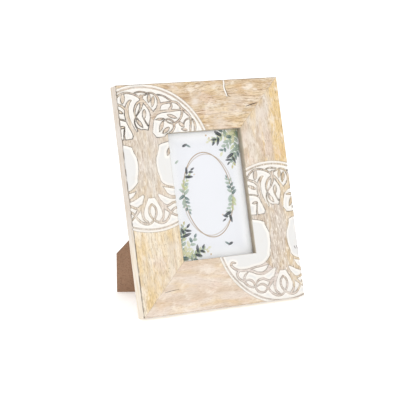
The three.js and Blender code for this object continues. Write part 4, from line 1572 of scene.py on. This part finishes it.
@dataclass
class BotanicalPrint:
    """A sheet printed with sprays of leaves round a thin gold oval, a design of its own.

    Attributes:
        place: Where the frame lies.
        width: The sheet's width.
        height: The sheet's height.
        covered: The border under the rails.
        fine: The grid's step where the sheet shows.
        hidden: The border that needs no fine grid.
        ovals: The gold lines: tilt in radians, half width, half height and strength.
        seed: What the sprays' random draws start from.
    """

    place: FramePlace
    width: float = SHEET[0]
    height: float = SHEET[1]
    covered: float = 5.0
    fine: float = 0.38
    hidden: float = 4.0
    ovals: tuple[tuple[float, ...], ...] = ((0.04, 29.5, 47, 0.95), (-0.06, 31.5, 45, 0.55))
    seed: int = 11

    def oval(self, x: Array, y: Array) -> Array:
        """How much gold two thin tilted ovals lay at each point."""
        cover = np.zeros(x.shape)
        right, up = x - self.width / 2, y - self.height / 2
        for tilt, wide, tall, strength in self.ovals:
            dx = right * math.cos(tilt) + up * math.sin(tilt)
            dy = up * math.cos(tilt) - right * math.sin(tilt)
            reach = np.hypot(dx / wide, dy / tall)
            slope = np.hypot(dx / wide**2, dy / tall**2) / np.maximum(reach, 1e-6)
            away = np.abs(reach - 1) / np.maximum(slope, 1e-6)
            cover = np.maximum(cover, strength * smooth(0.65 - away, 0, 0.4))
        return cover

    def wash(self, x: Array, y: Array, leaf: Leaf) -> Array:
        """How much ink a leaf lays at each point.

        Its edges bulge as the square root of 4t(1 - t). The ink thins towards its tip and along
        its midrib and pools a little along one side, as a wash of watercolour does.

        Args:
            x: Places across the sheet.
            y: Places up the sheet.
            leaf: The leaf.

        Returns:
            The cover from 0 to 1.
        """
        stalk = np.array(leaf.stalk)
        length = np.linalg.norm(leaf.tip - stalk)
        ahead = (leaf.tip - stalk) / length
        dx, dy = x - stalk[0], y - stalk[1]
        t = (dx * ahead[0] + dy * ahead[1]) / length
        off = dy * ahead[0] - dx * ahead[1]
        edge = leaf.half * np.sqrt(np.clip(4 * t * (1 - t), 0, 1)) * (1.12 - 0.35 * np.clip(t, 0, 1))
        strength = leaf.ink.body * (0.95 - 0.3 * t - 0.35 * np.exp(-((off / 0.22) ** 2)) + 0.12 * (off > 0))
        return np.clip(smooth(edge - np.abs(off), -0.1, 0.25) * strength * (t > 0) * (t < 1), 0, 1)

    def ink(self, x: Array, y: Array) -> Array:
        """The print's colour at each point, each ink laid over those before it.

        The paper is painted whiter along the rails: painted light that offsets the shade they cast there.

        Args:
            x: Places across the sheet.
            y: Places up the sheet.

        Returns:
            Colours in linear light.
        """
        rng = np.random.default_rng(self.seed)
        to_edge = np.minimum(np.minimum(x, self.width - x), np.minimum(y, self.height - y))
        # Painted light: the paper's colour turns whiter towards the rails, against the shade that falls there
        clear_of_rail_shade = smooth(to_edge - self.covered, -2, 15)[..., None]
        colour = np.array(seen("feffff")) * (1 - clear_of_rail_shade) + np.array(seen("e7e8ec")) * clear_of_rail_shade

        def lay(cover: Array, tint: str) -> None:
            """Lays an ink of that tint over the colour so far."""
            colour[:] = colour * (1 - cover[..., None]) + np.array(seen(tint)) * cover[..., None]

        lay(self.oval(x, y), "9a7536")
        for spray in [*CLUSTER, *GARLAND, *(spray.turned() for spray in [*CLUSTER, *GARLAND])]:
            away = distance_to_lines(x, y, [spray.stem()], 2.0)
            lay(0.8 * smooth(0.2 - away, 0, 0.3), "7c8a68")
            for leaf in spray.leaves(rng):
                lay(self.wash(x, y, leaf), leaf.ink.colour)
        for leaf in LOOSE_LEAVES:
            lay(self.wash(x, y, leaf), leaf.ink.colour)
        for across, up, radius in BERRIES:
            lay(0.85 * smooth(radius - np.hypot(x - across, y - up), 0, 0.4), "c9a56a")
        return colour

    def lines(self, length: float) -> Array:
        """The grid's places along a side of the sheet, fine where it shows."""
        count = round((length - 2 * self.hidden) / self.fine)
        return np.concatenate([[0.0], np.linspace(self.hidden, length - self.hidden, count), [length]])

    def build(self) -> Dressed:
        """The sheet with its print, a fine grid in front and one face behind."""
        depth = self.place.to_local(node_points("picture_print"))[:, 1]
        across, up = np.meshgrid(self.lines(self.width), self.lines(self.height), indexing="ij")
        left = (self.place.width - self.width) / 2
        low = (self.place.height - self.height) / 2
        front = np.stack([left + across, np.full(across.shape, depth.min()), low + up], axis=-1)
        ids = np.arange(across.size).reshape(across.shape)
        cells = np.stack([ids[:-1, :-1], ids[1:, :-1], ids[1:, 1:], ids[:-1, 1:]], axis=-1).reshape(-1, 4)
        rim = np.concatenate([ids[:-1, 0], ids[-1, :-1], ids[:0:-1, -1], ids[0, :0:-1]])
        flat = front.reshape(-1, 3)
        behind = flat[rim].copy()
        behind[:, 1] = depth.max()
        ring = np.arange(len(rim)) + len(flat)
        sides = np.stack([np.roll(rim, -1), rim, ring, np.roll(ring, -1)], axis=-1)
        faces = cells.tolist() + sides.tolist() + [ring[::-1].tolist()]
        ink = self.ink(across, up).reshape(-1, 4)
        points = self.place.to_row(np.vstack([flat, behind]))
        sheet = Shell(points, faces, {"ink": np.vstack([ink, ink[rim]])}).outward()
        obj = sheet.to_object("printed_sheet", PrintedPaper().material())
        return Dressed(obj, "frame", "paper", ("picture_print",))


@dataclass
class Boards:
    """The back board in its rebate and the strut with its pointed foot.

    Attributes:
        place: Where the frame lies.
        hinge: Where the strut's hinge lies.
        strut_length: From the pin to the foot's corner.
        strut_width: The strut's width.
        strut_corner: The bevel of its upper corners.
        strut_round: The radius of all its corners.
        strut_top: How far below the pin it starts.
        strut_inner: The depth of its inner face behind the pin.
        thickness: The boards' thickness.
        ease: The radius of the boards' edges.
    """

    place: FramePlace
    hinge: HingePlace
    strut_length: float = 172.3
    strut_width: float = 63.0
    strut_corner: float = 11.0
    strut_round: float = 0.6
    strut_top: float = 2.6
    strut_inner: float = -0.9
    thickness: float = 3.0
    ease: float = 0.35

    def back_board(self) -> Dressed:
        """The board that closes the back."""
        local = self.place.to_local(node_points("back_board"))
        low, high = local.min(axis=0), local.max(axis=0)
        corners = [(low[0], low[2]), (high[0], low[2]), (high[0], high[2]), (low[0], high[2])]
        plate = Plate(polygon(corners), low[1], high[1], self.ease)
        obj = plate.shell(self.place.to_row).to_object("back_board_panel", BACK_BOARD.material())
        return Dressed(obj, "frame", "fibreboard", ("back_board",))

    def strut(self) -> Dressed:
        """The strut: straight sides, two bevelled corners and a foot with an edge for each way up."""
        slant = math.acos(self.hinge.along[0])
        half, foot = self.strut_width / 2, -self.strut_length
        corners = [
            (0, foot),
            (half, foot + half * math.tan(slant)),
            (half, -self.strut_top - self.strut_corner),
            (half - self.strut_corner, -self.strut_top),
            (self.strut_corner - half, -self.strut_top),
            (-half, -self.strut_top - self.strut_corner),
            (-half, foot + half / math.tan(slant)),
        ]
        outline = polygon(corners, [self.strut_round] * len(corners))
        plate = Plate(outline, self.strut_inner, self.strut_inner + self.thickness, self.ease)
        obj = plate.shell(self.hinge.strut_to_row).to_object("strut_panel", STRUT_BOARD.material())
        return Dressed(obj, "strut", "fibreboard", ("strut_board",))


@dataclass
class TurnButton:
    """A stamped button that turns on a pan-head screw.

    Attributes:
        place: Where the frame lies.
        side: The rail that it sits on.
        brass: Its metal.
        length: The button's length.
        width: Its width.
        thickness: Its thickness.
        hole: Its hole's radius.
        gap: The gap under the screw's head.
        ease: The radius of its edges.
        end_steps: The number of steps round each of its ends.
        side_steps: The number of steps along each of its sides.
        edge_steps: The number of steps round its edges.
        shank: The screw's radius.
        tip: The radius of its blunt tip.
        reach: The screw's length below its head.
        point: The length of its point.
        head: Its head's radius.
        bevel: The bevel under its head.
        top: The radius of the flat on its head.
        rim: The height of its head's side.
        crown: The height of its head.
        slot: The width of the cross in its head.
        cross: The length of that cross.
        sink: The depth of that cross.
        dome_steps: The number of steps up its head's dome.
        turn_steps: The number of steps round the screw.
    """

    place: FramePlace
    side: Side
    brass: bpy.types.Material
    length: float = 20.0
    width: float = 9.0
    thickness: float = 1.2
    hole: float = 1.7
    gap: float = 0.3
    ease: float = 0.25
    end_steps: int = 24
    side_steps: int = 12
    edge_steps: int = 4
    shank: float = 1.4
    tip: float = 0.1
    reach: float = 9.0
    point: float = 2.5
    head: float = 3.0
    bevel: float = 0.2
    top: float = 0.08
    rim: float = 0.9
    crown: float = 1.8
    slot: float = 0.8
    cross: float = 3.4
    sink: float = 1.0
    dome_steps: int = 21
    turn_steps: int = 96

    def to_row(self, local: Array) -> Array:
        """Points of the button in the row frame.

        Args:
            local: Points as along the button, back, and across it, from the joint.

        Returns:
            The same points in metres.
        """
        line = self.place.line(self.side)
        centre = self.place.to_local(np.array(joint(f"button_{self.side.value}_turn")["pos_m"]))
        inward = np.array([line.inward[0], 0, line.inward[1]])
        along = np.array([line.along[0], 0, line.along[1]])
        axes = np.array([inward, [0, 1, 0], along])
        return self.place.to_row(centre + local @ axes)

    def button(self) -> Dressed:
        """The button: rows go round its outline, and columns go round its section."""
        end = self.width / 2
        angle = run((-math.pi / 2, math.pi / 2, self.end_steps))
        straight = run((0.0, 1.0, self.side_steps))[:, None]
        far = self.length - 2 * end
        tip = np.stack([far + end * np.cos(angle), end * np.sin(angle)], axis=1)
        heel = np.stack([-end * np.cos(angle), -end * np.sin(angle)], axis=1)
        outline = np.vstack([tip, [far, end] - straight * [far, 0], heel, [0, -end] + straight * [far, 0]])
        inset, rise = easing(self.ease, self.edge_steps)
        depths = np.concatenate([rise, self.thickness - rise[::-1]])
        insets = np.concatenate([inset, inset[::-1]])
        outer = outline[:, None] + bisectors(outline)[:, None] * insets[None, :, None]
        toward = outline / np.linalg.norm(outline, axis=1, keepdims=True)
        inner = toward[:, None] * (self.hole + insets[None, ::-1, None])
        flat = np.concatenate([outer, inner], axis=1)
        depth = np.broadcast_to(np.concatenate([depths, depths[::-1]]), flat.shape[:2])
        grid = np.stack([flat[..., 0], depth, flat[..., 1]], axis=-1)
        shell = Shell.swept(self.to_row(grid), Closing.LOOPED)
        name = f"turn_button_{self.side.value}"
        obj = shell.to_object(f"stamped_{name}", self.brass)
        return Dressed(obj, f"button_{self.side.value}", "brass", (name,))

    def screw(self) -> Dressed:
        """The screw: a turned profile whose domed head is pressed in by the cross."""
        seat = self.thickness + self.gap
        bend = run((0, math.pi / 2, self.dome_steps))
        dome = np.stack([self.head * np.cos(bend), self.rim + (self.crown - self.rim) * np.sin(bend)], axis=1)
        below = [
            (self.tip, -self.reach),
            (self.shank / 2, self.point / 2 - self.reach),
            (self.shank, self.point - self.reach),
            (self.shank, 0.0),
            (self.head - self.bevel, 0.0),
            (self.head, self.bevel),
        ]
        grid = revolved(np.vstack([below, dome, [(self.top, self.crown)]]), self.turn_steps)
        x, z = np.abs(grid[..., 0]), np.abs(grid[..., 2])
        half, reach = self.slot / 2, self.cross / 2
        arm = np.maximum(np.minimum(half - x, reach - z), np.minimum(half - z, reach - x))
        grid[..., 1] += seat - self.sink * smooth(arm, -0.08, 0.15) * (grid[..., 1] > self.rim)
        shell = Shell.swept(self.to_row(grid), Closing.CAPPED)
        name = f"turn_button_screw_{self.side.value}"
        return Dressed(shell.to_object(f"pan_head_{name}", self.brass), "frame", "brass", (name,))


@dataclass
class StrutHinge:
    """The strut's hinge: a leaf on the board, a leaf on the strut, their rivets and the pin.

    Attributes:
        place: Where it lies.
        steel: Its metal.
        width: The leaves' width.
        leaf: Their length from the pin's axis.
        thickness: Their thickness.
        corner: The radius of their corners.
        knuckle: The knuckles' outer radius.
        bore: Their inner radius.
        middle: The strut leaf's knuckle's length.
        gap: The gap between knuckles.
        pin: The pin's radius.
        pin_head: Its heads' radius.
        pin_end: From its middle to its end.
        stop: The length of the tongue that stops the strut.
        rivet: The rivets' radius.
        rivet_head: Their heads' radius.
        rivet_crown: Their heads' height.
        spread: How far along the pin they lie.
        reach: How far from the pin they lie.
        board_rivet: The depths of the board's rivets' tails and of their heads' seats.
        strut_rivet: The same of the strut's rivets.
        ease: The radius of the leaves' edges.
        overlap: How far a leaf's parts reach into each other.
        seat: The gap under the pin's heads.
        bevel: The bevel of those heads.
        tail_bevel: The bevel of the rivets' tails.
        tip: The radius of the small flat at a rivet's ends.
        dome_steps: The number of steps up a rivet's dome.
        turn_steps: The number of steps round the pin and the rivets.
        knuckle_steps: The number of steps round the knuckles.
    """

    place: HingePlace
    steel: bpy.types.Material
    width: float = 36.0
    leaf: float = 18.0
    thickness: float = 0.8
    corner: float = 4.0
    knuckle: float = 1.8
    bore: float = 0.99
    middle: float = 12.0
    gap: float = 0.3
    pin: float = 0.9
    pin_head: float = 1.5
    pin_end: float = 18.8
    stop: float = 7.0
    rivet: float = 1.2
    rivet_head: float = 2.4
    rivet_crown: float = 0.9
    spread: float = 11.0
    reach: float = 11.0
    board_rivet: tuple[float, float] = (-4.9, -0.9)
    strut_rivet: tuple[float, float] = (-1.8, 2.2)
    ease: float = 0.15
    overlap: float = 0.1
    seat: float = 0.1
    bevel: float = 0.2
    tail_bevel: float = 0.15
    tip: float = 0.1
    dome_steps: int = 8
    turn_steps: int = 32
    knuckle_steps: int = 40

    def plate(self, left: float, right: float, low: float, high: float, round_side: int) -> Plate:
        """A rectangular plate with two rounded corners.

        Args:
            left: Its left end along the pin.
            right: Its right end.
            low: Its lower edge.
            high: Its upper edge.
            round_side: 1 rounds the upper corners, -1 the lower ones and 0 none.

        Returns:
            The plate.
        """
        corners = [(left, low), (right, low), (right, high), (left, high)]
        lower, upper = (self.corner if round_side == sign else 0.0 for sign in (-1, 1))
        outline = polygon(corners, [lower, lower, upper, upper])
        return Plate(outline, -self.knuckle, self.thickness - self.knuckle, self.ease)

    def knuckles(self, left: float, right: float) -> Array:
        """A tube round the pin between two places along it, as a grid."""
        e = self.ease
        section = [
            (self.bore, left),
            (self.knuckle - e, left),
            (self.knuckle, left + e),
            (self.knuckle, right - e),
            (self.knuckle - e, right),
            (self.bore, right),
        ]
        return revolved(np.array(section), self.knuckle_steps)[..., [1, 0, 2]]

    def board_leaf(self) -> Dressed:
        """The leaf on the board, with the two outer knuckles."""
        near, half, inner = self.knuckle + self.gap, self.width / 2, self.middle / 2 + self.gap
        shell = self.plate(-half, half, near, self.leaf, 1).shell(self.place.board_to_row)
        for left, right in ((-half, -inner), (inner, half)):
            strip = self.plate(left, right, 0.0, near + self.overlap, 0)
            shell += strip.shell(self.place.board_to_row)
            tube = self.place.board_to_row(self.knuckles(left, right))
            shell += Shell.swept(tube, Closing.LOOPED, edge=np.zeros(tube.shape[:2]))
        obj = shell.to_object("pressed_board_leaf", self.steel)
        return Dressed(obj, "frame", "steel", ("hinge_board_leaf",))

    def strut_leaf(self) -> Dressed:
        """The leaf on the strut, with the middle knuckle and the stop that meets the board's leaf."""
        near, half, inner = self.knuckle + self.gap, self.width / 2, self.middle / 2
        shell = self.plate(-half, half, -self.leaf, -near, -1).shell(self.place.strut_to_row)
        strip = self.plate(-inner, inner, -near - self.overlap, 0.0, 0)
        shell += strip.shell(self.place.strut_to_row)
        tube = self.place.strut_to_row(self.knuckles(-inner, inner))
        shell += Shell.swept(tube, Closing.LOOPED, edge=np.zeros(tube.shape[:2]))
        front = self.thickness - self.knuckle + self.gap
        outline = polygon([(-inner, 0), (inner, 0), (inner, self.stop), (-inner, self.stop)])
        shell += Plate(outline, front, front + self.thickness, self.ease).shell(self.place.board_to_row)
        obj = shell.to_object("pressed_strut_leaf", self.steel)
        return Dressed(obj, "strut", "steel", ("hinge_strut_leaf",))

    def pivot(self) -> Dressed:
        """The pin with a head at each end."""
        end, seat, head, bevel = self.pin_end, self.width / 2 + self.seat, self.pin_head, self.bevel
        left = [(bevel, -end), (head - bevel, -end), (head, bevel - end), (head, -seat), (self.pin, -seat)]
        whole = np.vstack([left, np.array(left)[::-1] * [1, -1]])
        grid = revolved(whole, self.turn_steps)[..., [1, 0, 2]]
        shell = Shell.swept(self.place.board_to_row(grid), Closing.CAPPED)
        return Dressed(shell.to_object("headed_pin", self.steel), "frame", "steel", ("hinge_pin",))

    def rivets(self) -> list[Dressed]:
        """The four rivets: a shank under a domed head."""
        made = []
        bend = run((0, math.pi / 2, self.dome_steps))
        for board, body, (tail, seat), up, to_row in (
            ("board", "frame", self.board_rivet, self.reach, self.place.board_to_row),
            ("strut", "strut", self.strut_rivet, -self.reach, self.place.strut_to_row),
        ):
            dome = np.stack([self.rivet_head * np.cos(bend), seat + self.rivet_crown * np.sin(bend)], axis=1)
            shank = [
                (self.tip, tail),
                (self.rivet - self.tail_bevel, tail),
                (self.rivet, tail + self.tail_bevel),
                (self.rivet, seat),
            ]
            profile = np.vstack([shank, dome, [(self.tip, seat + self.rivet_crown)]])
            for place, across in (("left", -self.spread), ("right", self.spread)):
                grid = to_row(revolved(profile, self.turn_steps) + [across, 0, up])
                name = f"{board}_{place}"
                obj = Shell.swept(grid, Closing.CAPPED).to_object(f"domed_{name}", self.steel)
                made.append(Dressed(obj, body, "steel", (f"rivet_{name}",)))
        return made


@dataclass(frozen=True)
class PhotoCamera:
    """The camera of the photograph, fitted to the frame's corners.

    Attributes:
        place: Its place in metres.
        yaw: How far it is turned to the right of straight ahead, in radians.
        pitch: How far it looks down, in radians.
        focal: Its focal length as a share of the picture's width.
        sensor: The picture's width in the camera, in millimetres.
        sight: How far it sees, in metres.
    """

    place: tuple[float, float, float] = (-0.71406, -1.346247, 0.3977)
    yaw: float = 0.4888
    pitch: float = 0.1855
    focal: float = 3.47
    sensor: float = 36.0
    sight: float = 100.0

    def build(self) -> None:
        """Sets up the camera."""
        data = bpy.data.cameras.new("photo_camera")
        data.sensor_width = self.sensor
        data.lens = self.focal * self.sensor
        data.clip_end = self.sight
        camera = bpy.data.objects.new("photo_camera", data)
        level = math.cos(self.pitch)
        ahead = Vector((math.sin(self.yaw) * level, math.cos(self.yaw) * level, -math.sin(self.pitch)))
        camera.location = self.place
        camera.rotation_euler = ahead.to_track_quat("-Z", "Y").to_euler()
        bpy.context.scene.collection.objects.link(camera)
        bpy.context.scene.camera = camera


@dataclass(frozen=True)
class Studio:
    """A white floor under soft white light from all round, with a key light from the upper left.

    Attributes:
        floor_width: The floor's width in metres.
        white: How white the floor is.
        glow: The strength of the light that the floor itself gives, as a light table does.
        sky: The strength of the light from all round.
        key_power: The key light's power in watts.
        key_size: The length of its sides in metres.
        key_place: Where it hangs, in metres.
        aim: Where it looks.
    """

    floor_width: float = 40.0
    white: float = 0.99
    glow: float = 0.3
    sky: float = 1.0
    key_power: float = 8.6
    key_size: float = 1.1
    key_place: tuple[float, float, float] = (-1.0, -2.1, 1.5)
    aim: tuple[float, float, float] = (0.0, 0.0, 0.12)

    def build(self) -> None:
        """Sets up the floor, the sky and the light."""
        scene = bpy.context.scene
        world = bpy.data.worlds.new("white_surround")
        scene.world = world
        world.use_nodes = True
        background = world.node_tree.nodes["Background"]
        background.inputs["Color"].default_value = (1, 1, 1, 1)
        background.inputs["Strength"].default_value = self.sky
        scene.view_settings.view_transform = "Standard"
        half = self.floor_width / 2
        mesh = bpy.data.meshes.new("studio_floor")
        corners = [(-half, -half, 0), (half, -half, 0), (half, half, 0), (-half, half, 0)]
        mesh.from_pydata(corners, [], [(0, 1, 2, 3)])
        white = (self.white, self.white, self.white, 1.0)
        glow = {"Emission_Color": white, "Emission_Strength": self.glow}
        mesh.materials.append(Graph("white_floor").surface(Base_Color=white, Roughness=0.9, **glow))
        floor = bpy.data.objects.new("studio_floor", mesh)
        scene.collection.objects.link(floor)
        data = bpy.data.lights.new("key_light", "AREA")
        data.energy = self.key_power
        data.size = self.key_size
        lamp = bpy.data.objects.new("key_light", data)
        lamp.location = self.key_place
        lamp.rotation_euler = (Vector(self.aim) - Vector(self.key_place)).to_track_quat("-Z", "Y").to_euler()
        scene.collection.objects.link(lamp)


def dress_nodes(material: bpy.types.Material, *names: str) -> None:
    """Gives CAD nodes that keep their own shape a finish.

    Args:
        material: The finish.
        *names: The nodes' names.
    """
    for name in names:
        data = frame["nodes"][name].data
        data.materials.clear()
        data.materials.append(material)
        log.info("%s keeps its shape, in %s", name, material.name)


BACK_BOARD = Fibreboard("back_fibreboard", "967259", "7d5e48", "6a4f3c")
STRUT_BOARD = Fibreboard("strut_fibreboard")

RAIL_WOODS = {
    Side.LEFT: RailWood(
        "left_wood", pale="e9deca", tan="d6c2a0", gilded=0.65, edged=0.12, streaked=0.3, grainy=0.9,
        tooled=0.65, scrubbed="c2bec2", washed=0.5, worn=0.9, shift=3,
    ),
    Side.TOP: RailWood(
        "top_wood", pale="dfccb1", tan="caae88", gilded=0.35, edged=0.0, streaked=0.75, grainy=1.0,
        tooled=0.6, scrubbed="cdc6c6", washed=0.55, worn=0.6, shift=41,
    ),
    Side.RIGHT: RailWood(
        "right_wood", pale="dbcfc0", tan="cab69c", gilded=0.8, edged=0.36, streaked=0.35, grainy=1.0,
        tooled=1.0, scrubbed="c3bcb8", washed=0.6, worn=0.3, shift=77,
    ),
    Side.BOTTOM: RailWood(
        "bottom_wood", pale="dfd0c2", tan="d3bea8", gilded=0.35, edged=0.0, streaked=0.15, grainy=0.5,
        tooled=0.6, scrubbed="c2c0c8", washed=0.5, worn=0.35, shift=113,
    ),
}

# Cracks in the face, as points across and up the frame with half widths
FILLED_CRACKS = [
    [(131.2, 251, 0.9), (131.6, 246, 0.85), (130.9, 241.5, 0.8), (132.2, 236, 0.9), (133.4, 231.5, 0.5)],
]

OPEN_CRACKS = [
    [(132.9, 246, 0.1), (132.4, 241, 0.2), (133.8, 236, 0.25), (135.4, 231.8, 0.3), (138, 230.4, 0.2)],
    [(156, 218.9, 0.2), (163, 220.6, 0.5), (170, 222.1, 0.35)],
    [(28, 24.2, 0.1), (35, 25.2, 0.22), (45, 26, 0.12)],
    [(195.6, 57.6, 0.3), (196.6, 55, 0.35)],
    [(198.6, 57.6, 0.3), (199.2, 54.6, 0.3)],
]

# Patches of thick whitewash, and where the last number is below nought, of worn whitewash
WASHED = [
    Patch(*numbers)
    for numbers in (
        (172, 208, 8, 0.65), (160, 200, 6, 0.5), (181, 216, 7, 0.35), (170, 190, 8, 0.5), (152, 185, 8, 0.6),
        (158, 172, 6, 0.3), (93, 228, 5, 0.8), (99, 234, 4, 0.4), (120, 205, 8, 0.5), (110, 211, 5, 0.4),
        (140, 224, 7, 0.3), (134, 214, 6, 0.3), (45, 70, 8, 0.55), (60, 30, 12, 0.4), (192, 164, 6, -0.5),
        (21, 11, 6, -0.3), (148, 228, 8, 0.3), (150, 240, 7, -0.35), (36, 33, 8, 0.3), (16, 38, 9, 0.4),
    )
]

# Patches where the carving's edges are burnt black
CHARRED = [
    Patch(*numbers)
    for numbers in (
        (2, 199, 8, 1.6), (3, 217, 5, 1.0), (20, 225, 6, 0.9), (25, 206, 7, 1.3), (34, 197, 5, 0.6),
    )
]


def main() -> None:
    """Builds the camera, the studio and every piece, in order."""
    logging.basicConfig(level=logging.INFO, format="%(name)s: %(message)s")
    PhotoCamera().build()
    Studio().build()
    place = FramePlace.measured()
    hinge_place = HingePlace.measured(place)
    medallions = (
        Medallion(across=25.9, up=place.height - 80.2, radius=80.1, scorch=0.35),
        Medallion(across=place.width - 24.1, up=75.8, radius=79.7, scorch=0.25),
    )
    filled, dark = ([centre_line(crack) for crack in cracks] for cracks in (FILLED_CRACKS, OPEN_CRACKS))
    rails = CarvedRails(place, medallions, filled, dark, WASHED, CHARRED)
    boards = Boards(place, hinge_place)
    steel = Plating("plated_steel", "b3b1ad", "9c9994", 0.3).material()
    brass = Plating("brass_plating", "c8a45c", "9b7c44", 0.25).material()
    hinge = StrutHinge(hinge_place, steel)
    buttons = [TurnButton(place, side, brass) for side in Side]
    pieces = [rails.build(side, finish) for side, finish in RAIL_WOODS.items()]
    pieces += [BotanicalPrint(place).build(), boards.back_board(), boards.strut()]
    pieces += [hinge.board_leaf(), hinge.strut_leaf(), hinge.pivot(), *hinge.rivets()]
    pieces += [button.button() for button in buttons] + [button.screw() for button in buttons]
    for piece in pieces:
        piece.settle()
    dress_nodes(PictureGlass().material(), "glass_pane")
    dress_nodes(Greyboard().material(), "backing_card")
    dress_nodes(steel, *(name for name in frame["nodes"] if name.startswith("v_nail")))


if __name__ == "__main__":
    main()
